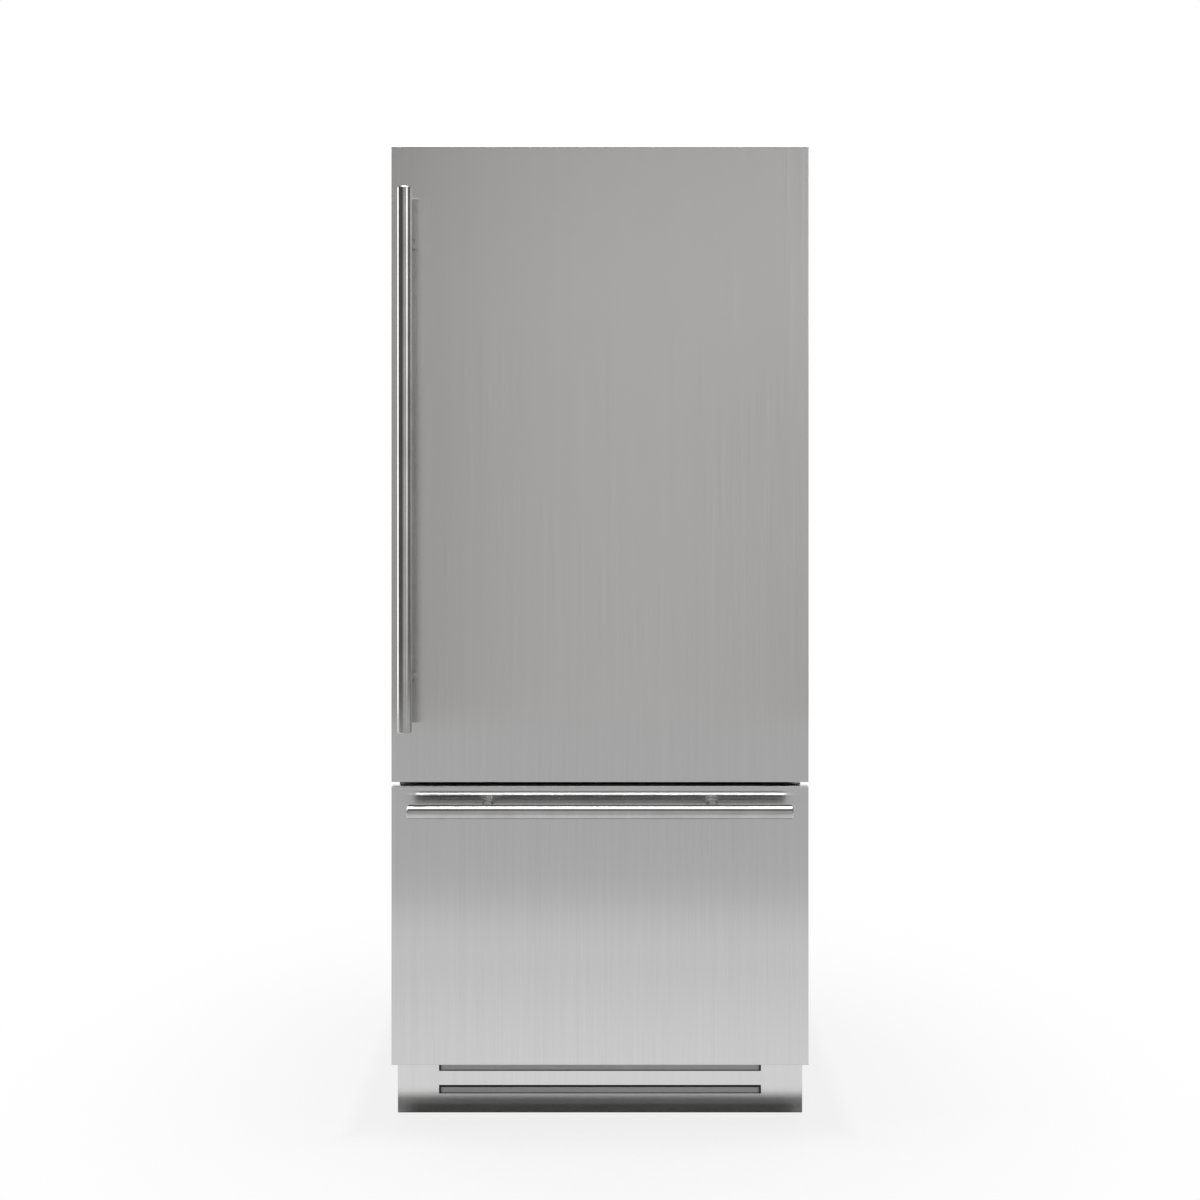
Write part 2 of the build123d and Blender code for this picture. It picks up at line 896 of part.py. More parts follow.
with BuildPart() as power_inlet:
    with BuildSketch(facing_front(inlet_face_y)):
        with Locations((inlet_x, inlet_z)):
            RectangleRounded(
                inlet_width + 2 * inlet_flange_reach,
                inlet_height + 2 * inlet_flange_reach,
                2 * inlet_corner,
            )
    extrude(amount=-inlet_flange_sheet)
    with BuildSketch(facing_front(inlet_face_y)):
        with Locations((inlet_x, inlet_z)):
            RectangleRounded(inlet_width, inlet_height, inlet_corner)
    extrude(amount=inlet_depth)
    with BuildSketch(facing_front(inlet_face_y + inlet_flange_sheet)):
        with Locations((inlet_x, inlet_z)):
            RectangleRounded(inlet_well_width, inlet_well_height, inlet_corner)
    extrude(amount=inlet_well_depth, mode=Mode.SUBTRACT)
    with BuildSketch(facing_front(well_floor_y - inlet_pin_offset)):
        with Locations(*pin_places):
            Rectangle(inlet_pin_width, inlet_pin_height)
    extrude(amount=-inlet_pin_length)

# Rail on the top for fastening the cabinet against tipping

top_rail_y = body_back_y - top_rail_setback
rail_foot = top_rail_crown + top_rail_flange
rail_web = top_rail_crown + top_rail_sheet
rail_top = body_top + top_rail_rise
rail_flange_top = body_top + top_rail_sheet

with BuildPart() as anti_tip_rail:
    with BuildSketch(facing_right(-fixing_spacing / 2 - top_rail_end)):
        outline(
            [
                (top_rail_y - rail_foot, body_top),
                (top_rail_y - top_rail_crown, body_top),
                (top_rail_y - top_rail_crown, rail_top - top_rail_sheet),
                (top_rail_y + top_rail_crown, rail_top - top_rail_sheet),
                (top_rail_y + top_rail_crown, body_top),
                (top_rail_y + rail_foot, body_top),
                (top_rail_y + rail_foot, rail_flange_top),
                (top_rail_y + rail_web, rail_flange_top),
                (top_rail_y + rail_web, rail_top),
                (top_rail_y - rail_web, rail_top),
                (top_rail_y - rail_web, rail_flange_top),
                (top_rail_y - rail_foot, rail_flange_top),
            ]
        )
    extrude(amount=fixing_spacing + 2 * top_rail_end)
    with BuildSketch(Plane.XY.offset(rail_top)):
        with Locations((-fixing_spacing / 2, top_rail_y), (fixing_spacing / 2, top_rail_y)):
            Circle(fixing_radius)
    extrude(amount=-top_rail_sheet, mode=Mode.SUBTRACT)

# Hinges

bracket_bottom = gap_middle_z - bracket_sheet / 2
bracket_top = gap_middle_z + bracket_sheet / 2
arm_radius = hinge_setback - hinge_arm_gap
bush_radius = pin_radius + bush_wall
arm_right = pivot_x + arm_radius

# The arm's right edge leans away from the steel front, which swings past it when the door is wide open.
lean = radians(door_opening - 90)
arm_tangent = (pivot_x + arm_radius * cos(lean), pivot_y + arm_radius * sin(lean))
neck_y = pivot_y + hinge_neck_reach
neck_x = arm_tangent[0] - (neck_y - arm_tangent[1]) * tan(lean)

with BuildPart() as top_hinge:
    with BuildSketch(Plane.XY.offset(body_top)):
        with BuildLine():
            CenterArc((pivot_x, pivot_y), arm_radius, 180, 90 + door_opening)
            Polyline(
                arm_tangent,
                (neck_x, neck_y),
                (arm_right, body_front_y),
                (arm_right, body_front_y + hinge_foot_end),
                (pivot_x - hinge_foot_width, body_front_y + hinge_foot_end),
                (pivot_x - hinge_foot_width, body_front_y + hinge_foot_start),
                (pivot_x - hinge_arm_width, body_front_y),
                (pivot_x - arm_radius, pivot_y),
            )
        make_face()
    extrude(amount=hinge_plate)
    with BuildSketch(Plane.XY.offset(body_top)):
        with Locations((pivot_x, pivot_y)):
            Circle(pin_radius)
    extrude(amount=-(hinge_plate + pin_length))

with BuildPart() as centre_hinge:
    with BuildSketch(Plane.XY.offset(bracket_bottom)):
        with BuildLine():
            Polyline(
                (pivot_x - arm_radius, pivot_y),
                (pivot_x - bracket_width, body_front_y),
                (arm_right, body_front_y),
                (arm_right, pivot_y),
            )
            CenterArc((pivot_x, pivot_y), arm_radius, 180, 180)
        make_face()
    extrude(amount=bracket_sheet)
    block(
        (pivot_x - bracket_width, arm_right),
        (body_front_y - bracket_flange_sheet, body_front_y),
        (gap_middle_z - bracket_flange_height / 2, gap_middle_z + bracket_flange_height / 2),
    )
    with BuildSketch(Plane.XY.offset(bracket_top)):
        with Locations((pivot_x, pivot_y)):
            Circle(pin_radius)
    extrude(amount=door_core_bottom - bracket_top + pin_length)

bush_length = pin_length + bush_wall

with BuildPart() as hinge_bushes:
    for start, way, collar in (
        (door_core_bottom, 1, door_core_bottom - bracket_top - run_clearance),
        (door_core_top, -1, hinge_plate - run_clearance),
    ):
        with BuildSketch(Plane.XY.offset(start)):
            with Locations((pivot_x, pivot_y)):
                Circle(bush_radius)
        extrude(amount=way * bush_length)
        with BuildSketch(Plane.XY.offset(start)):
            with Locations((pivot_x, pivot_y)):
                Circle(bush_radius + bush_collar)
        extrude(amount=-way * collar)
        with BuildSketch(Plane.XY.offset(start - way * collar)):
            with Locations((pivot_x, pivot_y)):
                Circle(pin_radius + shaft_clearance)
        extrude(amount=way * (collar + pin_length + bush_floor), mode=Mode.SUBTRACT)

# Fronts: steel panel, insulated core, gasket and bar handle


def panel_fill(bottom, top):
    """The limits of the space inside a folded steel front."""
    return (
        (-panel_width / 2 + panel_sheet, panel_width / 2 - panel_sheet),
        (panel_front_y + panel_sheet, core_front_y),
        (bottom + panel_sheet, top - panel_sheet),
    )


def steel_panel(bottom, top):
    """A folded steel tray, open to the core behind it, with softly bent front edges."""
    with BuildPart() as panel:
        block((-panel_width / 2, panel_width / 2), (panel_front_y, core_front_y), (bottom, top))
        fillet(panel.faces().sort_by(Axis.Y)[0].edges(), panel_edge_radius)
        block(*panel_fill(bottom, top), mode=Mode.SUBTRACT)
    return panel


def seal(bottom, top):
    """A magnetic gasket round an opening: a base strip, a narrow bellows neck and a magnet head."""
    inner = inner_half + gasket_margin
    reach = gasket_gap - run_clearance
    layers = ((0, 0.3, 0), (0.3, 0.55, gasket_neck_inset), (0.55, 1, gasket_head_inset))
    with BuildPart() as gasket:
        for start, end, inset in layers:
            with BuildSketch(facing_front(core_back_y + start * reach)):
                ring_outline(
                    inner + gasket_width - inset,
                    bottom - gasket_margin - gasket_width + inset,
                    top + gasket_margin + gasket_width - inset,
                    gasket_width - 2 * inset,
                    gasket_corner - inset,
                )
            extrude(amount=-(end - start) * reach)
    return gasket


def bar_handle(start, end):
    """A plain round bar with lightly chamfered flat ends."""
    axis = (end - start).normalized()
    side_way = Vector(0, 1, 0)
    with BuildPart() as bar:
        with BuildSketch(Plane(start, x_dir=side_way, z_dir=axis)):
            Circle(bar_radius)
        extrude(amount=(end - start).length)
        chamfer(bar.edges().filter_by(GeomType.CIRCLE), bar_end_chamfer)
    return bar


def bar_posts(places, start, end):
    """Round posts with a small foot, saddled to the bar they carry."""
    axis = (end - start).normalized()
    with BuildPart() as posts:
        with BuildSketch(facing_front(panel_front_y)):
            with Locations(*places):
                Circle(post_radius)
        extrude(amount=bar_reach)
        with BuildSketch(facing_front(panel_front_y)):
            with Locations(*places):
                Circle(post_foot_radius)
        extrude(amount=post_foot_height)
        with BuildSketch(Plane(start, x_dir=(0, 1, 0), z_dir=axis)):
            Circle(bar_radius)
        extrude(amount=(end - start).length, mode=Mode.SUBTRACT)
    return posts


door_bar_x = -panel_width / 2 + door_bar_inset
door_bar_z = (door_panel_bottom + door_panel_top) / 2 + door_bar_rise
door_bar_start = Vector(door_bar_x, bar_y, door_bar_z - door_bar_length / 2)
door_bar_end = Vector(door_bar_x, bar_y, door_bar_z + door_bar_length / 2)
door_post_places = [(door_bar_x, door_bar_z + step * door_post_spacing / 2) for step in (-1, 1)]
drawer_bar_z = drawer_panel_top - drawer_bar_drop
drawer_bar_start = Vector(-drawer_bar_length / 2, bar_y, drawer_bar_z)
drawer_bar_end = Vector(drawer_bar_length / 2, bar_y, drawer_bar_z)
drawer_post_places = [(step * drawer_post_spacing / 2, drawer_bar_z) for step in (-1, 1)]

door_panel = steel_panel(door_panel_bottom, door_panel_top)
door_gasket = seal(fridge_floor, fridge_ceiling)
door_bar = bar_handle(door_bar_start, door_bar_end)
door_posts = bar_posts(door_post_places, door_bar_start, door_bar_end)
drawer_panel = steel_panel(plinth_height, drawer_panel_top)
drawer_gasket = seal(freezer_floor, freezer_ceiling)
drawer_bar = bar_handle(drawer_bar_start, drawer_bar_end)
drawer_posts = bar_posts(drawer_post_places, drawer_bar_start, drawer_bar_end)

core_skin_y = core_back_y - liner_wall

with BuildPart() as door_core:
    block((-core_half, core_half), (core_front_y, core_skin_y), (door_core_bottom, door_core_top))
    block(*panel_fill(door_panel_bottom, door_panel_top))
    for start, way in ((door_core_bottom, 1), (door_core_top, -1)):
        with BuildSketch(Plane.XY.offset(start)):
            with Locations((pivot_x, pivot_y)):
                Circle(bush_radius + shaft_clearance)
        extrude(amount=way * (bush_length + run_clearance), mode=Mode.SUBTRACT)

with BuildPart() as drawer_core:
    block((-core_half, core_half), (core_front_y, core_skin_y), (drawer_core_bottom, drawer_core_top))
    block(*panel_fill(plinth_height, drawer_panel_top))

# Door lining, the raised dike on it with the ledges that carry the bins, and the bins

dike_half = inner_half - dike_inset
dike_bottom = fridge_floor + dike_inset
dike_top = fridge_ceiling - dike_inset
dike_inner_half = dike_half - dike_width
bin_half = dike_inner_half - bin_side_gap
bin_pitch = (dike_top - dike_bottom - 2 * dike_width - bin_headroom) / bin_count
bin_floors = [dike_bottom + dike_width + bin_rest + index * bin_pitch for index in range(bin_count)]
bin_front = core_back_y + bin_front_gap

with BuildPart() as door_liner:
    block((-core_half, core_half), (core_skin_y, core_back_y), (door_core_bottom, door_core_top))

with BuildPart() as door_dike:
    with BuildSketch(facing_front(core_back_y)):
        ring_outline(dike_half, dike_bottom, dike_top, dike_width, dike_radius)
    extrude(amount=-(gasket_gap + dike_reach))
    for floor in bin_floors:
        for side in (-1, 1):
            block(
                (side * dike_inner_half, side * (dike_inner_half - ledge_reach)),
                (core_back_y, core_back_y + gasket_gap + dike_reach - ledge_stop),
                (floor - ledge_height, floor),
            )

bin_size = (2 * bin_half, bin_depth, bin_height)
bin_middle = bin_front + bin_depth / 2
bin_shells = [
    open_bin(0, bin_middle, floor + bin_height, bin_size, bin_wall, bin_corner, bin_foot, bin_draft)
    for floor in bin_floors
]

with BuildPart() as door_bins:
    for bin_shell in bin_shells:
        add(bin_shell)

# Fridge fittings

duct_y = inner_back_y - duct_depth
shelf_front = core_back_y + bin_depth + shelf_bin_gap
shelf_back = duct_y - shelf_duct_gap
shelf_depth = shelf_back - shelf_front
shelf_middle = (shelf_front + shelf_back) / 2
shelf_half = inner_half - rack_thickness - shelf_rack_gap
crisper_top = fridge_floor + run_clearance + crisper_height
rack_bottom = crisper_top + rack_rise
rack_height = rack_slots * rack_pitch
rack_places = (shelf_front + rack_inset, shelf_back - rack_inset)
hook_half = rack_slot_width / 2 - shelf_hook_margin


def slot_floor(index):
    """The lower edge of a rack slot."""
    return rack_bottom + index * rack_pitch + (rack_pitch - rack_slot_height) / 2


shelf_floors = [slot_floor(index) for index in shelf_slots]

with BuildPart() as shelf_racks:
    for side in (-1, 1):
        for place in rack_places:
            block(
                (side * inner_half, side * (inner_half - rack_thickness)),
                (place - rack_width / 2, place + rack_width / 2),
                (rack_bottom, rack_bottom + rack_height),
            )
    with BuildSketch(facing_right(-inner_half)):
        for place in rack_places:
            with Locations((place, rack_bottom + rack_height / 2)):
                with GridLocations(1, rack_pitch, 1, rack_slots):
                    Rectangle(rack_slot_width, rack_slot_height)
    extrude(amount=2 * inner_half, mode=Mode.SUBTRACT)

with BuildPart() as shelf_frames:
    for floor in shelf_floors:
        block((-shelf_half, shelf_half), (shelf_front, shelf_back), (floor, floor + shelf_height))
        for side in (-1, 1):
            for place in rack_places:
                block(
                    (side * (shelf_half - shelf_hook_root), side * (shelf_half + shelf_hook_reach)),
                    (place - hook_half, place + hook_half),
                    (floor, floor + rack_slot_height - shelf_hook_drop),
                )
    fillet(shelf_frames.edges().filter_by(Axis.X).group_by(Axis.Y)[0], shelf_nose)
    for floor in shelf_floors:
        top = floor + shelf_height
        with BuildSketch(Plane.XY.offset(floor)):
            with Locations((0, shelf_middle)):
                Rectangle(2 * (shelf_half - shelf_border), shelf_depth - 2 * shelf_border)
        extrude(amount=shelf_height, mode=Mode.SUBTRACT)
        with BuildSketch(Plane.XY.offset(top)):
            with Locations((0, shelf_middle)):
                Rectangle(2 * (shelf_half - shelf_rebate), shelf_depth - 2 * shelf_rebate)
        extrude(amount=-glass_thickness, mode=Mode.SUBTRACT)

with BuildPart() as shelf_glass:
    for floor in shelf_floors:
        with BuildSketch(Plane.XY.offset(floor + shelf_height)):
            with Locations((0, shelf_middle)):
                RectangleRounded(
                    2 * (shelf_half - shelf_rebate - run_clearance),
                    shelf_depth - 2 * (shelf_rebate + run_clearance),
                    glass_corner,
                )
        extrude(amount=-glass_thickness)

crisper_width = inner_half - crisper_side_gap
crisper_depth = inner_back_y - crisper_back_gap - shelf_front
crisper_middle = shelf_front + crisper_depth / 2
crisper_size = (crisper_width, crisper_depth, crisper_height)
crisper_x = inner_half / 2
grip_half = crisper_width / 3
grip_front = shelf_front - grip_reach
slider_z = crisper_top - slider_drop
slot_half = slider_half + slider_travel


def crisper_shell(x):
    """A vegetable drawer's tub."""
    return open_bin(
        x,
        crisper_middle,
        crisper_top,
        crisper_size,
        crisper_wall,
        crisper_corner,
        crisper_foot,
        crisper_draft,
    )


crisper_tubs = [crisper_shell(-crisper_x), crisper_shell(crisper_x)]

# Each tub has a turned-out grip and a vent slot for its humidity slider.
with BuildPart() as crispers:
    for tub in crisper_tubs:
        add(tub)
    for side in (-1, 1):
        with BuildSketch(facing_right(side * crisper_x - grip_half)):
            outline(
                [
                    (shelf_front + crisper_wall, crisper_top),
                    (grip_front, crisper_top),
                    (grip_front - grip_flare, crisper_top - grip_height),
                    (grip_front - grip_flare + grip_wall, crisper_top - grip_height),
                    (grip_front + grip_wall, crisper_top - grip_wall),
                    (shelf_front + crisper_wall, crisper_top - grip_wall),
                ]
            )
        extrude(amount=2 * grip_half)
    with BuildSketch(facing_front(grip_front)):
        with Locations((-crisper_x, slider_z), (crisper_x, slider_z)):
            Rectangle(2 * slot_half, slider_slot + 2 * run_clearance)
    extrude(amount=-(grip_reach + crisper_corner), mode=Mode.SUBTRACT)


def humidity_slider(x):
    """A slider held in the vent slot by a knob in front and a plate behind."""
    wall_front = shelf_front + slider_drop * sin(radians(crisper_draft))
    front = wall_front - slider_play
    back = wall_front + crisper_wall + slider_play
    with BuildPart() as slider:
        for half_width, half_height, y_range in (
            (slider_knob_half, slider_knob_rise, (front - slider_knob_reach, front)),
            (slider_half, slider_slot / 2, (front, back)),
            (slider_half, slider_slot / 2 + slider_plate_reach, (back, back + slider_plate_sheet)),
        ):
            z_range = (slider_z - half_height, slider_z + half_height)
            block((x - half_width, x + half_width), y_range, z_range)
        fillet(slider.edges().filter_by(Axis.Z).group_by(Axis.Y)[0], slider_knob_edge)
    return slider


left_slider = humidity_slider(-crisper_x)
right_slider = humidity_slider(crisper_x)

# Air ducts, evaporators and their fans

fridge_duct_bottom = shelf_floors[0] + shelf_height + duct_rise
fridge_duct_top = fridge_ceiling - duct_headroom
fridge_fan_z = fridge_duct_top - fridge_fan_drop
fridge_vent_middle = (fridge_duct_bottom + fridge_fan_z - fridge_fan_radius) / 2
freezer_duct_half = inner_half - freezer_duct_inset
freezer_duct_top = freezer_ceiling - freezer_duct_headroom
freezer_duct_depth = inner_back_y - step_y
freezer_fan_z = freezer_duct_top - freezer_fan_radius - freezer_fan_edge


def air_cover(builder, half_width, y_front, bottom, top, depth):
    """A duct cover open to the wall behind it, with soft front edges, in the part being built."""
    block((-half_width, half_width), (y_front, y_front + depth), (bottom, top))
    fillet(builder.faces().sort_by(Axis.Y)[0].edges(), duct_edge)
    block(
        (-half_width + duct_wall, half_width - duct_wall),
        (y_front + duct_wall, y_front + depth),
        (bottom + duct_wall, top - duct_wall),
        mode=Mode.SUBTRACT,
    )


with BuildPart() as fridge_duct_cover:
    air_cover(fridge_duct_cover, duct_width / 2, duct_y, fridge_duct_bottom, fridge_duct_top, duct_depth)
    fan_mount(0, fridge_fan_z, duct_y, duct_wall, fridge_fan_radius + fan_ring_gap, shaft_reach)
    with BuildSketch(facing_front(duct_y)):
        with Locations((0, fridge_vent_middle)):
            with GridLocations(duct_width / 2, vent_pitch, 2, vent_rows):
                SlotOverall(duct_width / 2 - vent_web, vent_height)
    extrude(amount=-duct_wall, mode=Mode.SUBTRACT)

with BuildPart() as freezer_duct_cover:
    air_cover(
        freezer_duct_cover, freezer_duct_half, step_y, step_z, freezer_duct_top, freezer_duct_depth
    )
    fan_mount(0, freezer_fan_z, step_y, duct_wall, freezer_fan_radius + fan_ring_gap, shaft_reach)
    with BuildSketch(facing_front(step_y)):
        for side in (-1, 1):
            with Locations((side * freezer_duct_half * freezer_vent_place, freezer_fan_z)):
                with GridLocations(1, freezer_vent_pitch, 1, freezer_vent_rows):
                    SlotOverall(freezer_duct_half * freezer_vent_share, vent_height)
    extrude(amount=-duct_wall, mode=Mode.SUBTRACT)

fridge_fan = fan_rotor(0, fridge_fan_z, duct_y + duct_wall + fan_gap, fridge_fan_radius, fan_width)
freezer_fan = fan_rotor(0, freezer_fan_z, step_y + duct_wall + fan_gap, freezer_fan_radius, fan_width)

with BuildPart() as evaporators:
    finned_block(
        0,
        inner_back_y - evaporator_depth,
        fridge_duct_bottom + evaporator_rise,
        (duct_width - 2 * evaporator_inset, evaporator_depth, evaporator_height),
        evaporator_spine,
        evaporator_fins,
    )
    finned_block(
        0,
        inner_back_y - freezer_coil_depth,
        step_z + duct_wall,
        (2 * (freezer_duct_half - freezer_coil_inset), freezer_coil_depth, freezer_coil_height),
        freezer_coil_spine,
        freezer_coil_fins,
    )

# Control housing under the fridge ceiling, with three push buttons, and the light bars

control_front = body_front_y + dike_reach + control_setback
control_back = control_front + control_depth
control_bend = control_front + control_flat
control_floor = fridge_ceiling - control_height
control_tail_z = fridge_ceiling - control_tail
control_half = inner_half - control_inset
control_face = fridge_ceiling - control_height / 2
middle_key_x = control_half - button_inset
button_places = [middle_key_x + step * button_spacing for step in (-1, 0, 1)]

with BuildPart() as control_housing:
    with BuildSketch(facing_right(-control_half)):
        outline(
            [
                (control_front, fridge_ceiling),
                (control_front, control_floor),
                (control_bend, control_floor),
                (control_back, control_tail_z),
                (control_back, fridge_ceiling),
            ]
        )
    extrude(amount=2 * control_half)
    fillet(control_housing.faces().sort_by(Axis.Y)[0].edges().filter_by(Axis.Z), control_edge)
    with BuildSketch(facing_right(-control_half + control_wall)):
        outline(
            [
                (control_front + control_wall, fridge_ceiling),
                (control_front + control_wall, control_floor + control_wall),
                (control_bend - control_wall / 2, control_floor + control_wall),
                (control_back - control_wall, control_tail_z + control_wall),
                (control_back - control_wall, fridge_ceiling),
            ]
        )
    extrude(amount=2 * (control_half - control_wall), mode=Mode.SUBTRACT)
    with BuildSketch(facing_front(control_front)):
        with Locations(*[(place, control_face) for place in button_places]):
            Circle(button_radius + run_clearance)
    extrude(amount=-control_wall, mode=Mode.SUBTRACT)


def push_button(x):
    """A round key that stands proud of the housing, kept in by a collar behind the wall."""
    collar_y = control_front + control_wall + run_clearance
    with BuildPart() as button:
        with BuildSketch(facing_front(collar_y)):
            with Locations((x, control_face)):
                Circle(button_radius)
        extrude(amount=collar_y - control_front + button_travel + button_rise)
        chamfer(button.edges().group_by(Axis.Y)[0], button_edge)
        with BuildSketch(facing_front(collar_y)):
            with Locations((x, control_face)):
                Circle(button_radius + button_collar)
        extrude(amount=-button_collar)
    return button


left_button = push_button(button_places[0])
middle_button = push_button(button_places[1])
right_button = push_button(button_places[2])

light_y = body_front_y + dike_reach + light_setback

with BuildPart() as light_bars:
    for side in (-1, 1):
        with BuildSketch(Plane.XY.offset(rack_bottom)):
            with Locations((side * (inner_half - light_thickness / 2), light_y)):
                Rectangle(light_thickness, light_width)
        extrude(amount=rack_height)
    upright = light_bars.edges().filter_by(Axis.Z)
    bare_edge = inner_half - light_thickness / 2
    fillet(upright.filter_by(lambda edge: abs(edge.center().X) < bare_edge), light_edge)

# Telescopic drawer rails

rail_z = freezer_ceiling - rail_drop
rail_start = body_front_y + rail_setback
rail_length = inner_back_y - rail_back_gap - rail_start
rail_half = rail_height / 2
slide_gap = run_clearance
middle_web = 2 * rail_sheet
middle_half = rail_half - rail_sheet - slide_gap
inner_rail_half = middle_half - rail_sheet - slide_gap


def channel(side, web, lip, half, toward_wall):
    """One rail's channel section, its web upright and its flanges level, in the sketch being built."""
    lip_end = web - lip if toward_wall else web + rail_sheet + lip
    points = [
        (web, -half),
        (web + rail_sheet, -half),
        (web + rail_sheet, half),
        (web, half),
    ]
    outline([(side * (inner_half - u), rail_z + w) for u, w in points])
    for level in (-half, half - rail_sheet):
        start, end = sorted((web + rail_sheet / 2, lip_end))
        rise = level + rail_sheet
        flange = ((start, level), (end, level), (end, rise), (start, rise))
        outline([(side * (inner_half - u), rail_z + w) for u, w in flange])


with BuildPart() as fixed_rails:
    for side in (-1, 1):
        with BuildSketch(facing_front(rail_start)):
            channel(side, 0, rail_flange, rail_half, False)
        extrude(amount=-rail_length)


def middle_rail(side):
    """The travelling member between the fixed rail and the drawer's own rail."""
    with BuildPart() as rail:
        with BuildSketch(facing_front(rail_start)):
            channel(side, middle_web, rail_step - slide_gap - middle_web - rail_sheet, middle_half, False)
        extrude(amount=-rail_length)
    return rail


left_middle_rail = middle_rail(-1)
right_middle_rail = middle_rail(1)

ledge_u = rail_step + rail_sheet
ledge_z = rail_z - inner_rail_half

with BuildPart() as drawer_rails:
    for side in (-1, 1):
        with BuildSketch(facing_front(core_back_y)):
            channel(side, rail_step, rail_step - 2 * rail_sheet - middle_web, inner_rail_half, True)
        extrude(amount=-(rail_start + rail_length - core_back_y))
        block(
            (side * (inner_half - ledge_u), side * (inner_half - ledge_u - ledge_width)),
            (core_back_y, rail_start + rail_length),
            (ledge_z, ledge_z + rail_sheet),
        )
        block(
            (side * (inner_half - ledge_u + rail_tab_overlap), side * (inner_half - ledge_u - ledge_width)),
            (core_back_y, core_back_y + rail_tab_sheet),
            (rail_z - inner_rail_half - rail_tab_drop, rail_z + inner_rail_half),
        )

# Freezer front lining, basket and sliding tray

basket_front = core_back_y + basket_clearance
basket_back = step_y - basket_clearance
basket_depth = basket_back - basket_front
basket_middle = (basket_front + basket_back) / 2
basket_half = inner_half - ledge_u - ledge_width - basket_side_gap
basket_rim = ledge_z + rail_sheet
basket_floor = freezer_floor + basket_lift
tray_depth = basket_depth * tray_share
tray_half = basket_half - basket_wall - tray_side_gap
tray_front = basket_front + basket_wall + tray_front_gap

with BuildPart() as drawer_liner:
    block((-core_half, core_half), (core_skin_y, core_back_y), (drawer_core_bottom, drawer_core_top))
    with BuildSketch(facing_front(core_back_y)):
        with Locations((0, (freezer_floor + freezer_ceiling) / 2)):
            RectangleRounded(
                2 * (basket_half - dike_radius),
                freezer_ceiling - freezer_floor - 2 * freezer_swell_margin,
                dike_radius,
            )
    extrude(amount=-freezer_swell, taper=freezer_swell_slope)

basket_top = basket_rim + rim_sheet
basket_size = (2 * basket_half, basket_depth, basket_top - basket_floor)
basket_shell = open_bin(
    0, basket_middle, basket_top, basket_size, basket_wall, basket_corner, basket_foot, basket_draft
)

with BuildPart() as freezer_basket:
    add(basket_shell)
    for side in (-1, 1):
        block(
            (side * (basket_half - ear_root), side * (basket_half + ledge_width - basket_ear_gap)),
            (basket_front + basket_ear_margin, basket_back - basket_ear_margin),
            (basket_rim, basket_top),
        )

tray_size = (2 * tray_half, tray_depth, tray_height)
tray_seat = basket_top + run_clearance
tray_top = tray_seat + tray_ear_sheet
tray_middle = tray_front + tray_depth / 2
tray_shell = open_bin(
    0, tray_middle, tray_top, tray_size, basket_wall, tray_corner, tray_foot, tray_draft
)

with BuildPart() as freezer_tray:
    add(tray_shell)
    for side in (-1, 1):
        block(
            (side * (tray_half - ear_root), side * (basket_half + tray_ear_reach)),
            (tray_front + tray_ear_margin, tray_front + tray_depth - tray_ear_margin),
            (tray_seat, tray_top),
        )

# Labels and files

nodes = {
    "outer_case": outer_case,
    "back_panel": back_panel,
    "insulation_foam": insulation_foam,
    "front_frame": front_frame,
    "fridge_liner": fridge_liner,
    "freezer_liner": freezer_liner,
    "base_frame": base_frame,
    "left_foot": left_foot,
    "right_foot": right_foot,
    "left_wheel": left_wheel,
    "right_wheel": right_wheel,
    "toe_kick": toe_kick,
    "toe_kick_baffle": toe_kick_baffle,
    "compressor": compressor,
    "condenser": condenser,
    "condenser_fan_frame": condenser_fan_frame,
    "condenser_fan": condenser_fan,
    "drain_pan": drain_pan,
    "rear_cover": rear_cover,
    "power_inlet": power_inlet,
    "anti_tip_rail": anti_tip_rail,
    "top_hinge": top_hinge,
    "centre_hinge": centre_hinge,
    "hinge_bushes": hinge_bushes,
    "door_panel": door_panel,
    "door_core": door_core,
    "door_liner": door_liner,
    "door_dike": door_dike,
    "door_gasket": door_gasket,
    "door_bar": door_bar,
    "door_posts": door_posts,
    "door_bins": door_bins,
    "drawer_panel": drawer_panel,
    "drawer_core": drawer_core,
    "drawer_liner": drawer_liner,
    "drawer_gasket": drawer_gasket,
    "drawer_bar": drawer_bar,
    "drawer_posts": drawer_posts,
    "drawer_rails": drawer_rails,
    "fixed_rails": fixed_rails,
    "left_middle_rail": left_middle_rail,
    "right_middle_rail": right_middle_rail,
    "freezer_basket": freezer_basket,
    "freezer_tray": freezer_tray,
    "shelf_racks": shelf_racks,
    "shelf_frames": shelf_frames,
    "shelf_glass": shelf_glass,
    "crispers": crispers,
    "left_slider": left_slider,
    "right_slider": right_slider,
    "fridge_duct_cover": fridge_duct_cover,
    "freezer_duct_cover": freezer_duct_cover,
    "fridge_fan": fridge_fan,
    "freezer_fan": freezer_fan,
    "evaporators": evaporators,
    "control_housing": control_housing,
    "left_button": left_button,
    "middle_button": middle_button,
    "right_button": right_button,
    "light_bars": light_bars,
}

for label, built in nodes.items():
    built.part.label = label
    export_step(built.part, f"parts/{label}.step")
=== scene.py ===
import json
import math

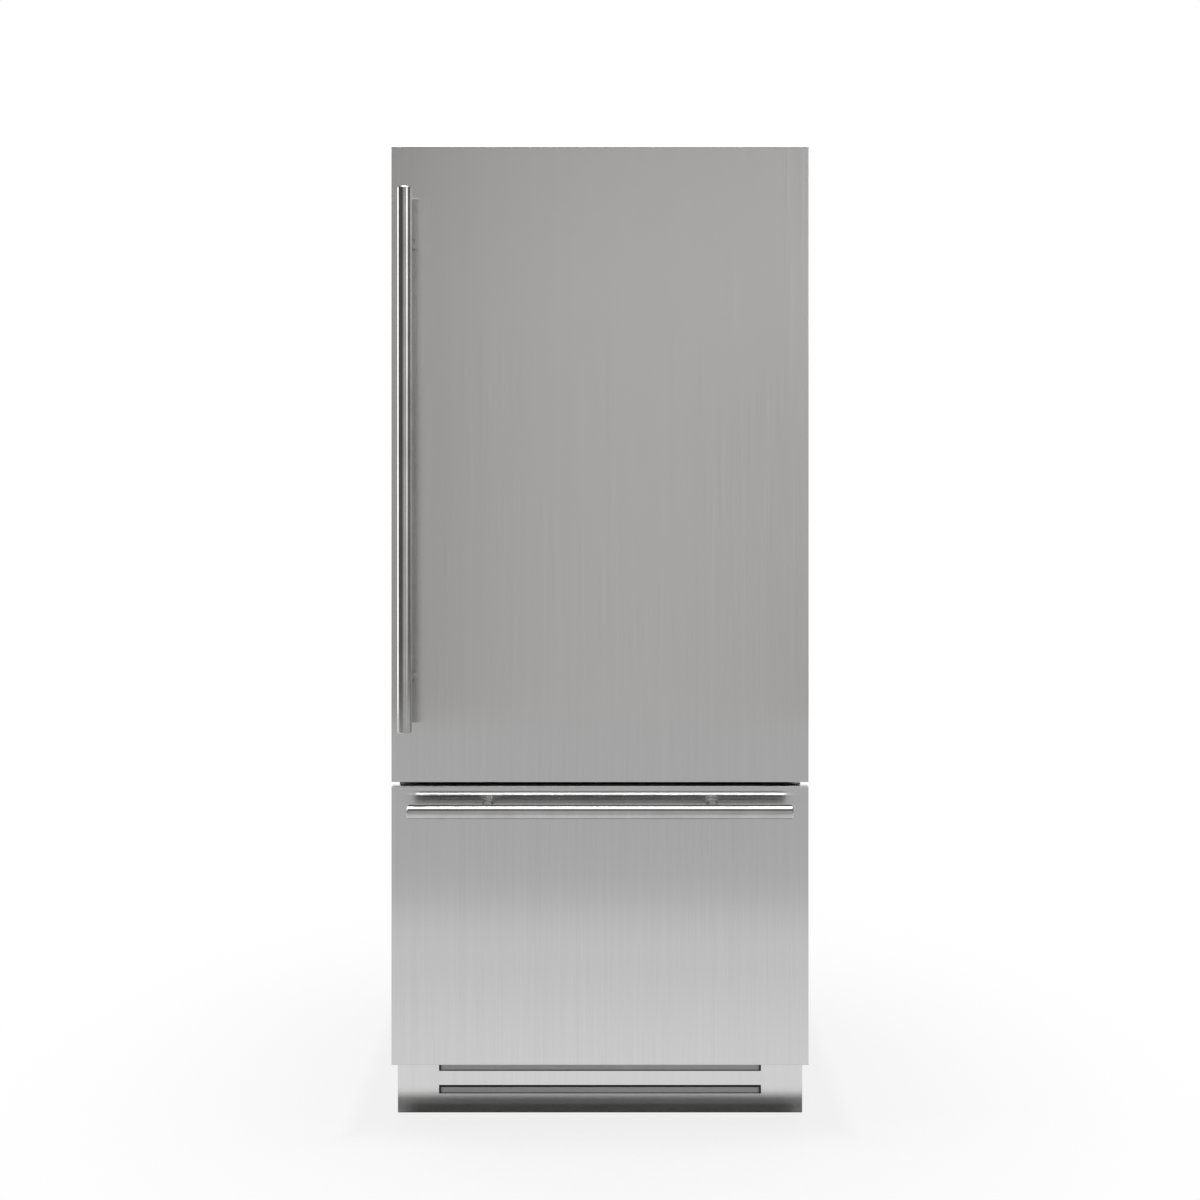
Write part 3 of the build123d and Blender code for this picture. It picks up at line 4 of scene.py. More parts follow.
import bmesh
import bpy
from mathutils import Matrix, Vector


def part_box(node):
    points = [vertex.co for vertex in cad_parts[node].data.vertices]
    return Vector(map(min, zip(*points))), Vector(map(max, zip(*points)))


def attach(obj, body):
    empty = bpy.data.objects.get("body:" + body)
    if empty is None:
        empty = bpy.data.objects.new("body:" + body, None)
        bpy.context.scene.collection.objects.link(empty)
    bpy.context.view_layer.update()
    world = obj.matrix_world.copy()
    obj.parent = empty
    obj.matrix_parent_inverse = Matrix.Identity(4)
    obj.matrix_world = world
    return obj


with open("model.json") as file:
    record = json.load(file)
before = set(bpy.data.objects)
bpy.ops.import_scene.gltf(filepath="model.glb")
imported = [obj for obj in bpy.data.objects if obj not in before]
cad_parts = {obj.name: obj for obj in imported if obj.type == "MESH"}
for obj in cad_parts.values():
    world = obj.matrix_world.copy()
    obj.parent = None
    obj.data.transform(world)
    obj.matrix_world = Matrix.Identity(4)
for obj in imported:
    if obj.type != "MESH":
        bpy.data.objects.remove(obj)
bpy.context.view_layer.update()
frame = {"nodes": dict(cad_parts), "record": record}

# A tall refrigerator in brushed steel: its finishes, small pieces, stage, light and camera.
# Metres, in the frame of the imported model: the front faces -Y and +Z is up.

MM = 0.001
WHITE = (1.0, 1.0, 1.0, 1.0)
UP = (0, 0, 1)
FORWARD = (0, -1, 0)
BACKWARD = (0, 1, 0)
scene = bpy.context.scene


# Shader nodes


def node(tree, kind, inputs=None, **settings):
    """A new node with its settings, and its inputs linked to outputs or set to plain values."""
    made = tree.nodes.new(kind)
    for key, value in settings.items():
        setattr(made, key, value)
    for socket, value in (inputs or {}).items():
        if isinstance(value, bpy.types.NodeSocket):
            tree.links.new(value, made.inputs[socket])
        else:
            made.inputs[socket].default_value = value
    return made


def maths(tree, operation, first, second=0.0):
    """One operation on outputs or plain numbers."""
    return node(tree, "ShaderNodeMath", {0: first, 1: second}, operation=operation).outputs["Value"]


def product(tree, first, second):
    """Two colours multiplied, each an output or a plain colour."""
    inputs = {"Factor": 1.0, "A": first, "B": second}
    mix = node(tree, "ShaderNodeMix", inputs, data_type="RGBA", blend_type="MULTIPLY")
    return mix.outputs["Result"]


def remap(tree, value, start, end, low=0.0, high=1.0):
    """A value's range from start to end, mapped to low and high and held there beyond it."""
    inputs = {"Value": value, "From Min": start, "From Max": end, "To Min": low, "To Max": high}
    return node(tree, "ShaderNodeMapRange", inputs).outputs["Result"]


def ramp(tree, factor, stops, interpolation="LINEAR"):
    """A colour ramp through stops, each a position from 0 to 1 and a colour."""
    made = node(tree, "ShaderNodeValToRGB", {"Fac": factor})
    made.color_ramp.interpolation = interpolation
    steps = made.color_ramp.elements
    while len(steps) < len(stops):
        steps.new(0.5)
    for index, (position, shade) in enumerate(stops):
        steps[index].position = position
        steps[index].color = shade
    return made.outputs["Color"]


# Colours and finishes

NOISE_ROUGHNESS = 0.55


def display(level):
    """One 0-255 display level as the linear value that renders to it."""
    share = level / 255
    return share / 12.92 if share <= 0.04045 else ((share + 0.055) / 1.055) ** 2.4


def colour(red, green, blue):
    """A display colour as linear red, green, blue and alpha."""
    return (display(red), display(green), display(blue), 1.0)


def grey(level):
    """A neutral display grey."""
    return colour(level, level, level)


def shifted(shade, factor):
    """A linear colour made lighter or deeper by a factor, up to white."""
    return tuple(min(1.0, part * factor) for part in shade[:3]) + (1.0,)


def even(cells):
    """The same number of cells per metre on each axis."""
    return (cells, cells, cells)


def grained(grain, along, across):
    """Cells per metre along the grain's axis and across it."""
    return [along if axis == grain else across for axis in "XYZ"]


class Finish:
    """A node material with its Principled shader, and short calls for the textures that feed it."""

    def __init__(self, name, sockets):
        self.material = bpy.data.materials.new(name)
        self.material.use_nodes = True
        self.tree = self.material.node_tree
        self.shader = self.tree.nodes["Principled BSDF"]
        for socket, value in sockets.items():
            self.shader.inputs[socket].default_value = value

    def feed(self, source, socket):
        """Links an output to one of the shader's inputs."""
        self.tree.links.new(source, self.shader.inputs[socket])

    def place(self, stretch):
        """The surface's own coordinates, in metres, times a stretch on each axis."""
        inputs = {"Vector": node(self.tree, "ShaderNodeTexCoord").outputs["Object"], "Scale": stretch}
        return node(self.tree, "ShaderNodeMapping", inputs).outputs["Vector"]

    def noise(self, stretch, detail=3.0):
        """Soft noise with so many cells per metre along each axis."""
        inputs = {
            "Vector": self.place(stretch),
            "Scale": 1.0,
            "Detail": detail,
            "Roughness": NOISE_ROUGHNESS,
        }
        return node(self.tree, "ShaderNodeTexNoise", inputs).outputs["Fac"]

    def cells(self, stretch):
        """A random grey for each cell of a crystal pattern."""
        inputs = {"Vector": self.place(stretch), "Scale": 1.0}
        crystal = node(self.tree, "ShaderNodeTexVoronoi", inputs).outputs["Color"]
        return node(self.tree, "ShaderNodeSeparateColor", {"Color": crystal}).outputs["Red"]

    def bands(self, axis, per_metre):
        """Even soft bands across one axis."""
        inputs = {"Vector": self.place(even(1)), "Scale": per_metre, "Distortion": 0.0}
        return node(self.tree, "ShaderNodeTexWave", inputs, bands_direction=axis).outputs["Fac"]

    def shades(self, factor, *stops):
        """A colour ramp through evenly spaced colours."""
        last = len(stops) - 1
        return ramp(self.tree, factor, [(index / last, stop) for index, stop in enumerate(stops)])

    def spread(self, factor, low, high, start=0.3, end=0.7):
        """A factor's middle range spread over two values."""
        return remap(self.tree, factor, start, end, low, high)

    def relief(self, height, strength, depth):
        """A bump of so many metres on the shader's normal."""
        inputs = {"Height": height, "Strength": strength, "Distance": depth}
        self.feed(node(self.tree, "ShaderNodeBump", inputs).outputs["Normal"], "Normal")


def brushed(name, level, grain, roughness, anisotropy):
    """Brushed metal: long fine scratches along the grain, broad soft bands and a directional gloss."""
    finish = Finish(name, {"Metallic": 1.0, "Anisotropic": anisotropy})
    fine = finish.noise(grained(grain, 5, 2600), detail=1.0)
    broad = finish.noise(grained(grain, 0.8, 60), detail=2.0)
    scratches = finish.shades(finish.spread(fine, 0, 1), grey(level - 3), grey(level + 3))
    drift = finish.shades(finish.spread(broad, 0, 1), grey(253), grey(255))
    finish.feed(product(finish.tree, scratches, drift), "Base Color")
    finish.feed(finish.spread(fine, roughness - 0.012, roughness + 0.012), "Roughness")
    finish.relief(fine, strength=0.04, depth=0.02 * MM)
    return finish.material


def satin(name, level, roughness):
    """Plain satin metal with a fine even tooth."""
    finish = Finish(name, {"Metallic": 1.0})
    tooth = finish.noise(even(900))
    drift = finish.noise(even(14), detail=4.0)
    tone = finish.shades(finish.spread(drift, 0, 1), grey(level - 8), grey(level + 6))
    finish.feed(tone, "Base Color")
    finish.feed(finish.spread(tooth, roughness - 0.05, roughness + 0.06), "Roughness")
    finish.relief(tooth, strength=0.2, depth=0.02 * MM)
    return finish.material


def zinc(name, level):
    """Zinc-coated sheet with its crystal pattern."""
    finish = Finish(name, {"Metallic": 1.0})
    crystal = finish.cells(even(95))
    dull = finish.noise(even(5), detail=5.0)
    patches = finish.shades(crystal, grey(level - 7), grey(level), grey(level + 7))
    haze = finish.shades(finish.spread(dull, 0, 1), grey(246), grey(255))
    finish.feed(product(finish.tree, patches, haze), "Base Color")
    finish.feed(finish.spread(crystal, 0.34, 0.42, start=0, end=1), "Roughness")
    finish.relief(finish.noise(even(300)), strength=0.15, depth=0.04 * MM)
    return finish.material


def paint(name, shade, roughness, coat=0.0):
    """Sprayed paint with a fine orange peel."""
    finish = Finish(name, {"Coat Weight": coat, "Coat Roughness": 0.08})
    peel = finish.noise(even(420), detail=2.0)
    drift = finish.noise(even(3), detail=4.0)
    finish.feed(finish.shades(finish.spread(drift, 0, 1), shade, shifted(shade, 1.12)), "Base Color")
    finish.feed(finish.spread(peel, roughness - 0.04, roughness + 0.05), "Roughness")
    finish.relief(peel, strength=0.3, depth=0.05 * MM)
    return finish.material


def moulded(name, shade, roughness, grain=1600, depth=0.03 * MM):
    """Moulded plastic or rubber with a fine eroded grain."""
    finish = Finish(name, {"IOR": 1.5})
    tooth = finish.noise(even(grain), detail=2.0)
    drift = finish.noise(even(4), detail=4.0)
    finish.feed(finish.shades(finish.spread(drift, 0, 1), shifted(shade, 0.94), shade), "Base Color")
    finish.feed(finish.spread(tooth, roughness - 0.05, roughness + 0.06), "Roughness")
    finish.relief(tooth, strength=0.3, depth=depth)
    return finish.material


def clear(name, tint, roughness, index):
    """See-through plastic or glass with faint wipe marks."""
    finish = Finish(name, {"Transmission Weight": 0.96, "IOR": index})
    wiped = finish.noise(grained("Z", 6, 30), detail=5.0)
    finish.feed(finish.shades(finish.spread(wiped, 0, 1), tint, shifted(tint, 1.04)), "Base Color")
    finish.feed(finish.spread(wiped, roughness, roughness + 0.05), "Roughness")
    finish.relief(wiped, strength=0.05, depth=0.05 * MM)
    return finish.material


def lens(name, shade, strength):
    """A frosted lamp lens, lit from inside by a row of small lamps."""
    finish = Finish(name, {"Roughness": 0.35, "Emission Strength": strength})
    lamps = finish.bands("Z", 7)
    glow = finish.shades(finish.spread(lamps, 0, 1, start=0, end=1), grey(225), shade)
    finish.feed(glow, "Emission Color")
    finish.feed(finish.shades(lamps, grey(236), shade), "Base Color")
    finish.relief(finish.bands("Z", 260), strength=0.4, depth=0.2 * MM)
    return finish.material


finishes = {
    "brushed_steel_front": brushed("brushed_steel_front", 204, "Z", 0.165, 1.0),
    "toe_steel": brushed("toe_steel", 209, "Z", 0.165, 1.0),
    "bar_steel": satin("bar_steel", 186, 0.17),
    "post_steel": satin("post_steel", 188, 0.16),
    "hinge_steel": satin("hinge_steel", 176, 0.33),
    "foot_steel": satin("foot_steel", 188, 0.32),
    "rail_steel": brushed("rail_steel", 190, "Y", 0.3, 0.5),
    "rack_aluminium": brushed("rack_aluminium", 212, "Z", 0.34, 0.5),
    "shelf_aluminium": brushed("shelf_aluminium", 214, "X", 0.3, 0.6),
    "fin_aluminium": brushed("fin_aluminium", 206, "Z", 0.38, 0.4),
    "zinc_sheet": zinc("zinc_sheet", 178),
    "case_paint": paint("case_paint", grey(112), 0.42),
    "frame_steel": paint("frame_steel", grey(74), 0.42),
    "baffle_paint": paint("baffle_paint", grey(121), 0.5),
    "compressor_paint": paint("compressor_paint", grey(26), 0.28, coat=0.6),
    "door_foam": paint("door_foam", grey(38), 0.5),
    "foam": moulded("foam", colour(226, 214, 178), 0.85, grain=500, depth=0.4 * MM),
    "liner_plastic": moulded("liner_plastic", colour(237, 238, 238), 0.32),
    "door_lining": moulded("door_lining", colour(237, 238, 238), 0.3),
    "duct_plastic": moulded("duct_plastic", colour(230, 231, 232), 0.42),
    "basket_plastic": moulded("basket_plastic", colour(222, 226, 229), 0.34),
    "gasket_rubber": moulded("gasket_rubber", grey(52), 0.68, grain=900, depth=0.08 * MM),
    "wheel_plastic": moulded("wheel_plastic", grey(38), 0.55),
    "fan_plastic": moulded("fan_plastic", grey(44), 0.48),
    "dark_plastic": moulded("dark_plastic", grey(36), 0.5),
    "bush_plastic": moulded("bush_plastic", colour(226, 222, 208), 0.45),
    "slider_plastic": moulded("slider_plastic", grey(120), 0.4),
    "control_plastic": moulded("control_plastic", colour(30, 31, 33), 0.16),
    "button_plastic": satin("button_plastic", 196, 0.3),
    "clear_plastic": clear("clear_plastic", colour(247, 250, 251), 0.03, 1.45),
    "shelf_glass": clear("shelf_glass", colour(240, 249, 246), 0.01, 1.5),
    "light_lens": lens("light_lens", colour(250, 252, 255), 12.0),
}

for subpart in frame["record"]["subparts"]:
    for held in frame["nodes"][subpart["node"]].material_slots:
        held.material = finishes[subpart["material_slot"]]


# Small pieces that the solids leave out

SMOOTH_ANGLE = math.radians(40)
TURNED_SIDES = 24


def finish_piece(name, mesh, body, slot, finish=None):
    """Makes a built mesh a piece that rides on a body and takes a record slot's finish, or its own."""
    bmesh.ops.recalc_face_normals(mesh, faces=mesh.faces)
    data = bpy.data.meshes.new(name)
    mesh.to_mesh(data)
    mesh.free()
    data.polygons.foreach_set("use_smooth", [True] * len(data.polygons))
    data.set_sharp_from_angle(angle=SMOOTH_ANGLE)
    data.materials.append(finish or finishes[slot])
    piece = bpy.data.objects.new(name, data)
    scene.collection.objects.link(piece)
    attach(piece, body)


def turned(mesh, rings, centre, facing):
    """Rings of one turned or shaped form, joined in order and capped at the end.

    Each ring is a height along the facing axis and a radius, or a function of the angle."""
    turn = Vector(facing).to_track_quat("Z", "Y").to_matrix()
    loops = []
    for height, reach in rings:
        loop = []
        for step in range(TURNED_SIDES):
            angle = 2 * math.pi * step / TURNED_SIDES
            radius = reach(angle) if callable(reach) else reach
            local = Vector((radius * math.cos(angle), radius * math.sin(angle), height))
            loop.append(mesh.verts.new(Vector(centre) + turn @ local))
        loops.append(loop)
    for lower, upper in zip(loops, loops[1:]):
        for step in range(TURNED_SIDES):
            other = (step + 1) % TURNED_SIDES
            mesh.faces.new((lower[step], lower[other], upper[other], upper[step]))
    mesh.faces.new(loops[-1])


def cross(reach, half_width):
    """The outline of a cross recess, as a radius for each angle."""

    def radius(angle):
        folded = abs((angle + math.pi / 4) % (math.pi / 2) - math.pi / 4)
        if math.tan(folded) < half_width / reach:
            return reach / math.cos(folded)
        return half_width / math.sin(folded)

    return radius


def screw_heads(name, places, facing, radius):
    """Pan-head screws with a cross recess, sitting on one flat face of the cabinet."""
    height = 0.55 * radius
    recess = cross(0.62 * radius, 0.2 * radius)
    rings = (
        (0, radius),
        (0.35 * height, radius),
        (0.75 * height, 0.88 * radius),
        (height, 0.68 * radius),
        (height, recess),
        (0.35 * height, recess),
    )
    mesh = bmesh.new()
    for place in places:
        turned(mesh, rings, place, facing)
    finish_piece(name, mesh, "cabinet", "foot_steel")


def soft_bar(mesh, low, high, edge, segments=2):
    """A straight strip between two corners with rounded edges, in the mesh being built."""
    low, high = Vector(low), Vector(high)
    made = bmesh.ops.create_cube(mesh, size=1.0)
    middle, span = (low + high) / 2, high - low
    for vert in made["verts"]:
        vert.co = middle + Vector(part * size for part, size in zip(vert.co, span))
    bmesh.ops.bevel(
        mesh,
        geom=list({side for vert in made["verts"] for side in vert.link_edges}),
        offset=edge,
        segments=segments,
        profile=0.5,
        affect="EDGES",
        clamp_overlap=True,
    )


# Screws of the top hinge, in a row along each side of its plate

TOP_SCREW = 5 * MM
TOP_INSET = 18 * MM
TOP_LEFT_ROWS = (16 * MM, 52 * MM)
TOP_RIGHT_ROWS = (16 * MM, 76 * MM)
top_low, top_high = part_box("top_hinge")
top_columns = ((top_low.x + TOP_INSET, TOP_LEFT_ROWS), (top_high.x - TOP_INSET, TOP_RIGHT_ROWS))
screw_heads(
    "top_hinge_screws",
    [(x, top_high.y - row, top_high.z) for x, rows in top_columns for row in rows],
    UP,
    TOP_SCREW,
)

# Screws of the centre hinge, through its upright plate

BRACKET_SCREW = 3 * MM
BRACKET_SHEET = 3 * MM
BRACKET_MIDDLE = 11 * MM
BRACKET_COLUMNS = (9 * MM, 40 * MM)
BRACKET_ROWS = (-7 * MM, 7 * MM)
bracket_low, bracket_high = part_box("centre_hinge")
bracket_z = bracket_low.z + BRACKET_MIDDLE
screw_heads(
    "centre_hinge_screws",
    [
        (bracket_low.x + column, bracket_high.y - BRACKET_SHEET, bracket_z + row)
        for column in BRACKET_COLUMNS
        for row in BRACKET_ROWS
    ],
    FORWARD,
    BRACKET_SCREW,
)

# Screws of the anti-tip rail, in two rows through its sheet on the case's top

TIP_SCREW = 4 * MM
TIP_SHEET = 2 * MM
TIP_INSET = 9 * MM
TIP_SHARES = [0.06 + 0.22 * step for step in range(5)]
tip_low, tip_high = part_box("anti_tip_rail")
case_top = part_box("outer_case")[1].z
screw_heads(
    "anti_tip_rail_screws",
    [
        (tip_low.x + share * (tip_high.x - tip_low.x), y, case_top + TIP_SHEET)
        for share in TIP_SHARES
        for y in (tip_low.y + TIP_INSET, tip_high.y - TIP_INSET)
    ],
    UP,
    TIP_SCREW,
)

# Screws of the machine bay's cover, along its upper and lower edges

COVER_SCREW = 4 * MM
COVER_SIDE_INSET = 20 * MM
COVER_ROW_INSET = 12 * MM
COVER_COLUMNS = 6
cover_low, cover_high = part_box("rear_cover")
cover_step = (cover_high.x - cover_low.x - 2 * COVER_SIDE_INSET) / (COVER_COLUMNS - 1)
screw_heads(
    "rear_cover_screws",
    [
        (cover_low.x + COVER_SIDE_INSET + cover_step * column, cover_high.y, z)
        for column in range(COVER_COLUMNS)
        for z in (cover_low.z + COVER_ROW_INSET, cover_high.z - COVER_ROW_INSET)
    ],
    BACKWARD,
    COVER_SCREW,
)

# Screws in the corners of the duct covers

DUCT_SCREW = 4 * MM
DUCT_INSET = 16 * MM
for duct in ("fridge_duct_cover", "freezer_duct_cover"):
    duct_low, duct_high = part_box(duct)
    screw_heads(
        duct + "_screws",
        [
            (x, duct_low.y, z)
            for x in (duct_low.x + DUCT_INSET, duct_high.x - DUCT_INSET)
            for z in (duct_low.z + DUCT_INSET, duct_high.z - DUCT_INSET)
        ],
        FORWARD,
        DUCT_SCREW,
    )

# Screws of the shelf racks, up the middle of each

RACK_SCREW = 3.5 * MM
RACK_DEPTH = 6 * MM
RACK_HALF_WIDTH = 9 * MM
RACK_SHARES = (0.04, 0.48, 0.96)
rack_low, rack_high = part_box("shelf_racks")
rack_face = rack_high.x - RACK_DEPTH
for side, side_name in ((-1, "left"), (1, "right")):
    screw_heads(
        side_name + "_rack_screws",
        [
            (side * rack_face, y, rack_low.z + share * (rack_high.z - rack_low.z))
            for y in (rack_low.y + RACK_HALF_WIDTH, rack_high.y - RACK_HALF_WIDTH)
            for share in RACK_SHARES
        ],
        (-side, 0, 0),
        RACK_SCREW,
    )

# Display window

WINDOW_MIDDLE = 95 * MM
WINDOW_HALF_WIDTH = 52 * MM
WINDOW_HALF_HEIGHT = 11 * MM
WINDOW_PROUD = 0.8 * MM
WINDOW_SEAT = 0.5 * MM
WINDOW_ROUND = 0.7 * MM
control_low, control_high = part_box("control_housing")
control_z = (control_low.z + control_high.z) / 2
window_face = control_low.y - WINDOW_PROUD
window = bmesh.new()
soft_bar(
    window,
    (WINDOW_MIDDLE - WINDOW_HALF_WIDTH, window_face, control_z - WINDOW_HALF_HEIGHT),
    (WINDOW_MIDDLE + WINDOW_HALF_WIDTH, control_low.y + WINDOW_SEAT, control_z + WINDOW_HALF_HEIGHT),
    WINDOW_ROUND,
)
window_glass = moulded("display_glass", colour(16, 17, 19), 0.1)
finish_piece("display_window", window, "cabinet", "control_plastic", window_glass)

# Figures of the display: the strokes of each sign, between corners of a unit square

STROKES = {
    "a": ((0, 1), (1, 1)),
    "b": ((1, 0.5), (1, 1)),
    "c": ((1, 0), (1, 0.5)),
    "d": ((0, 0), (1, 0)),
    "e": ((0, 0), (0, 0.5)),
    "f": ((0, 0.5), (0, 1)),
    "g": ((0, 0.5), (1, 0.5)),
}
SIGNS = {"-": "g", "1": "bc", "3": "abcdg", "8": "abcdefg"}
SHOWN = (("3", -38 * MM), ("-", 6 * MM), ("1", 15 * MM), ("8", 24 * MM))
FIGURE_WIDTH = 5.5 * MM
FIGURE_HEIGHT = 11 * MM
FIGURE_PROUD = 0.2 * MM
STROKE_HALF = 0.09 * FIGURE_HEIGHT
STROKE_INSET = 1.3 * STROKE_HALF
STROKE_DEPTH = 0.6 * MM


def figure(mesh, sign, x, y, z):
    """One seven-segment figure from its lower left corner, as slim six-sided strokes."""
    for stroke in SIGNS[sign]:
        (x0, z0), (x1, z1) = STROKES[stroke]
        start = Vector((x + x0 * FIGURE_WIDTH, 0, z + z0 * FIGURE_HEIGHT))
        end = Vector((x + x1 * FIGURE_WIDTH, 0, z + z1 * FIGURE_HEIGHT))
        along = (end - start).normalized()
        tip = along * STROKE_HALF
        side = Vector((-along.z, 0, along.x)) * STROKE_HALF
        near, far = start + along * STROKE_INSET, end - along * STROKE_INSET
        points = (near - tip, near + side, far + side, far + tip, far - side, near - side)
        front = [mesh.verts.new((point.x, y, point.z)) for point in points]
        back = [mesh.verts.new((point.x, y + STROKE_DEPTH, point.z)) for point in points]
        mesh.faces.new(front)
        mesh.faces.new(list(reversed(back)))
        for index in range(len(points)):
            other = (index + 1) % len(points)
            mesh.faces.new((front[index], front[other], back[other], back[index]))


figures = bmesh.new()
for sign, shift in SHOWN:
    figure(
        figures, sign, WINDOW_MIDDLE + shift, window_face - FIGURE_PROUD, control_z - FIGURE_HEIGHT / 2
    )
figure_light = lens("figure_light", colour(205, 232, 255), 1.6)
finish_piece("display_figures", figures, "cabinet", "light_lens", figure_light)

# Marks on the keys: half the width and height of each of their bars

KEY_MARKS = {
    "left": ((3.2 * MM, 0.5 * MM),),
    "middle": ((3.2 * MM, 0.5 * MM), (0.5 * MM, 3.2 * MM)),
    "right": ((1.1 * MM, 3.0 * MM), (3.0 * MM, 1.1 * MM), (1.9 * MM, 1.9 * MM)),
}
MARK_PROUD = 0.15 * MM
MARK_SEAT = 0.2 * MM
MARK_ROUND = 0.12 * MM
mark_ink = moulded("mark_ink", grey(40), 0.4)
for key, bars in KEY_MARKS.items():
    key_low, key_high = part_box(key + "_button")
    key_x = (key_low.x + key_high.x) / 2
    mark = bmesh.new()
    for half_width, half_height in bars:
        soft_bar(
            mark,
            (key_x - half_width, key_low.y - MARK_PROUD, control_z - half_height),
            (key_x + half_width, key_low.y + MARK_SEAT, control_z + half_height),
            MARK_ROUND,
            segments=1,
        )
    finish_piece(key + "_key_mark", mark, "key_" + key, "control_plastic", mark_ink)

# Dark strips behind the two slots of the toe-kick, between its sheet and the baffle: painted shade along
# each slot's top and ends, where the sheet shades the baffle

SLOT_HALF = 353 * MM
SLOT_HEIGHT = 19 * MM
SLOT_MIDDLES = (55 * MM, 104.5 * MM)
TOE_SHEET = 1.6 * MM
SHADE_STRIP_GAP = 0.2 * MM
SHADE_STRIP_DROP = 5.5 * MM
SHADE_STRIP_WIDTH = 3.3 * MM
SHADE_STRIP_LAP = 3 * MM
SHADE_STRIP_ROUND = 0.5 * MM
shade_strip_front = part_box("toe_kick")[0].y + TOE_SHEET
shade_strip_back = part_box("toe_kick_baffle")[0].y - SHADE_STRIP_GAP
slot_painted_shade = bmesh.new()
for middle in SLOT_MIDDLES:
    slot_top, slot_bottom = middle + SLOT_HEIGHT / 2, middle - SLOT_HEIGHT / 2
    soft_bar(
        slot_painted_shade,
        (-SLOT_HALF - SHADE_STRIP_LAP, shade_strip_front, slot_top - SHADE_STRIP_DROP),
        (SLOT_HALF + SHADE_STRIP_LAP, shade_strip_back, slot_top + SHADE_STRIP_LAP),
        SHADE_STRIP_ROUND,
    )
    for side in (-1, 1):
        ends = sorted((side * (SLOT_HALF - SHADE_STRIP_WIDTH), side * (SLOT_HALF + SHADE_STRIP_LAP)))
        soft_bar(
            slot_painted_shade,
            (ends[0], shade_strip_front, slot_bottom - SHADE_STRIP_LAP),
            (ends[1], shade_strip_back, slot_top - SHADE_STRIP_DROP),
            SHADE_STRIP_ROUND,
        )
# A near-black finish for the strips, standing in for the shade inside the slots
painted_shade_finish = moulded("painted_shade_finish", grey(22), 0.8, grain=900, depth=0.08 * MM)
finish_piece("slot_painted_shade", slot_painted_shade, "cabinet", "gasket_rubber", painted_shade_finish)

# The rolled upper edge of the drawer's steel front, which catches the light under the gap

ROLL_RADIUS = 1.6 * MM
ROLL_RISE = 1.4 * MM
ROLL_LAP = 2 * MM
ROLL_DEPTH = 4 * MM
ROLL_PROUD = 0.05 * MM
drawer_low, drawer_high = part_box("drawer_panel")
rolled_edge = bmesh.new()
soft_bar(
    rolled_edge,
    (drawer_low.x, drawer_low.y - ROLL_PROUD, drawer_high.z - ROLL_LAP),
    (drawer_high.x, drawer_low.y + ROLL_DEPTH, drawer_high.z + ROLL_RISE),
    ROLL_RADIUS,
    segments=4,
)
finish_piece("drawer_rolled_edge", rolled_edge, "freezer_drawer", "brushed_steel_front")

# Metal trims along the rims of the door bins

BIN_COUNT = 4
BIN_HEIGHT = 100 * MM
TRIM_INSET = 20 * MM
TRIM_SEAT = 0.6 * MM
TRIM_PROUD = 2 * MM
TRIM_BELOW_RIM = (18 * MM, 1 * MM)
TRIM_ROUND = 0.9 * MM
bins_low, bins_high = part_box("door_bins")
bin_step = (bins_high.z - bins_low.z - BIN_HEIGHT) / (BIN_COUNT - 1)
bin_trims = bmesh.new()
for index in range(BIN_COUNT):
    rim = bins_low.z + index * bin_step + BIN_HEIGHT
    soft_bar(
        bin_trims,
        (bins_low.x + TRIM_INSET, bins_high.y - TRIM_SEAT, rim - TRIM_BELOW_RIM[0]),
        (bins_high.x - TRIM_INSET, bins_high.y + TRIM_PROUD, rim - TRIM_BELOW_RIM[1]),
        TRIM_ROUND,
    )
finish_piece("bin_trims", bin_trims, "door", "shelf_aluminium")


# Stage, light and camera

front_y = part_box("door_panel")[0].y


def stage_piece(name, verts, faces, material):
    """A mesh of the stage with one material."""
    data = bpy.data.meshes.new(name)
    data.from_pydata(verts, [], faces)
    data.materials.append(material)
    piece = bpy.data.objects.new(name, data)
    scene.collection.objects.link(piece)
    return piece


def stage_material(name):
    """A material for the stage without its shader, its tree, and where a point lies on each axis."""
    made = bpy.data.materials.new(name)
    made.use_nodes = True
    tree = made.node_tree
    tree.nodes.clear()
    place = node(tree, "ShaderNodeNewGeometry").outputs["Position"]
    axes = node(tree, "ShaderNodeSeparateXYZ", {"Vector": place}).outputs
    return made, tree, axes


def fade(tree, factor, stops):
    """A smooth grey ramp through stops, each a position from 0 to 1 and a linear level."""
    greys = [(position, (level, level, level, 1.0)) for position, level in stops]
    return ramp(tree, factor, greys, "EASE")


def seen(tree):
    """One for rays that reach a surface from the camera or by way of metal or glass."""
    rays = node(tree, "ShaderNodeLightPath").outputs
    mirrored = maths(tree, "MAXIMUM", rays["Is Camera Ray"], rays["Is Glossy Ray"])
    return maths(tree, "MAXIMUM", mirrored, rays["Is Transmission Ray"])


# White surroundings, dimmer where they light matte surfaces

WORLD_LIGHT = 0.22
world = bpy.data.worlds.new("studio")
world.use_nodes = True
scene.world = world
sky = world.node_tree
background = sky.nodes["Background"]
background.inputs["Color"].default_value = WHITE
sky.links.new(fade(sky, seen(sky), ((0.0, WORLD_LIGHT), (1.0, 1.0))), background.inputs["Strength"])

# A pale floor: white beside the object and grey in front of it, a painted pool of light; darker by its
# foot, a painted shade; paler to the camera

FLOOR_HALF = 14.0
FLOOR_CORNERS = ((-1, -1), (1, -1), (1, 1), (-1, 1))
# How far in front of the door its painted pool of light runs from grey to white
PAINTED_POOL_REACH = (2.2, 0.2)
PAINTED_POOL_LEVELS = ((0.0, 0.63), (0.2, 0.65), (0.6, 0.86), (1.0, 0.98))
# How far outside the plinth its painted shade ends and its glow begins
FOOT_FADE = (0.064, 0.125)
FOOT_PAINTED_SHADE = 0.5
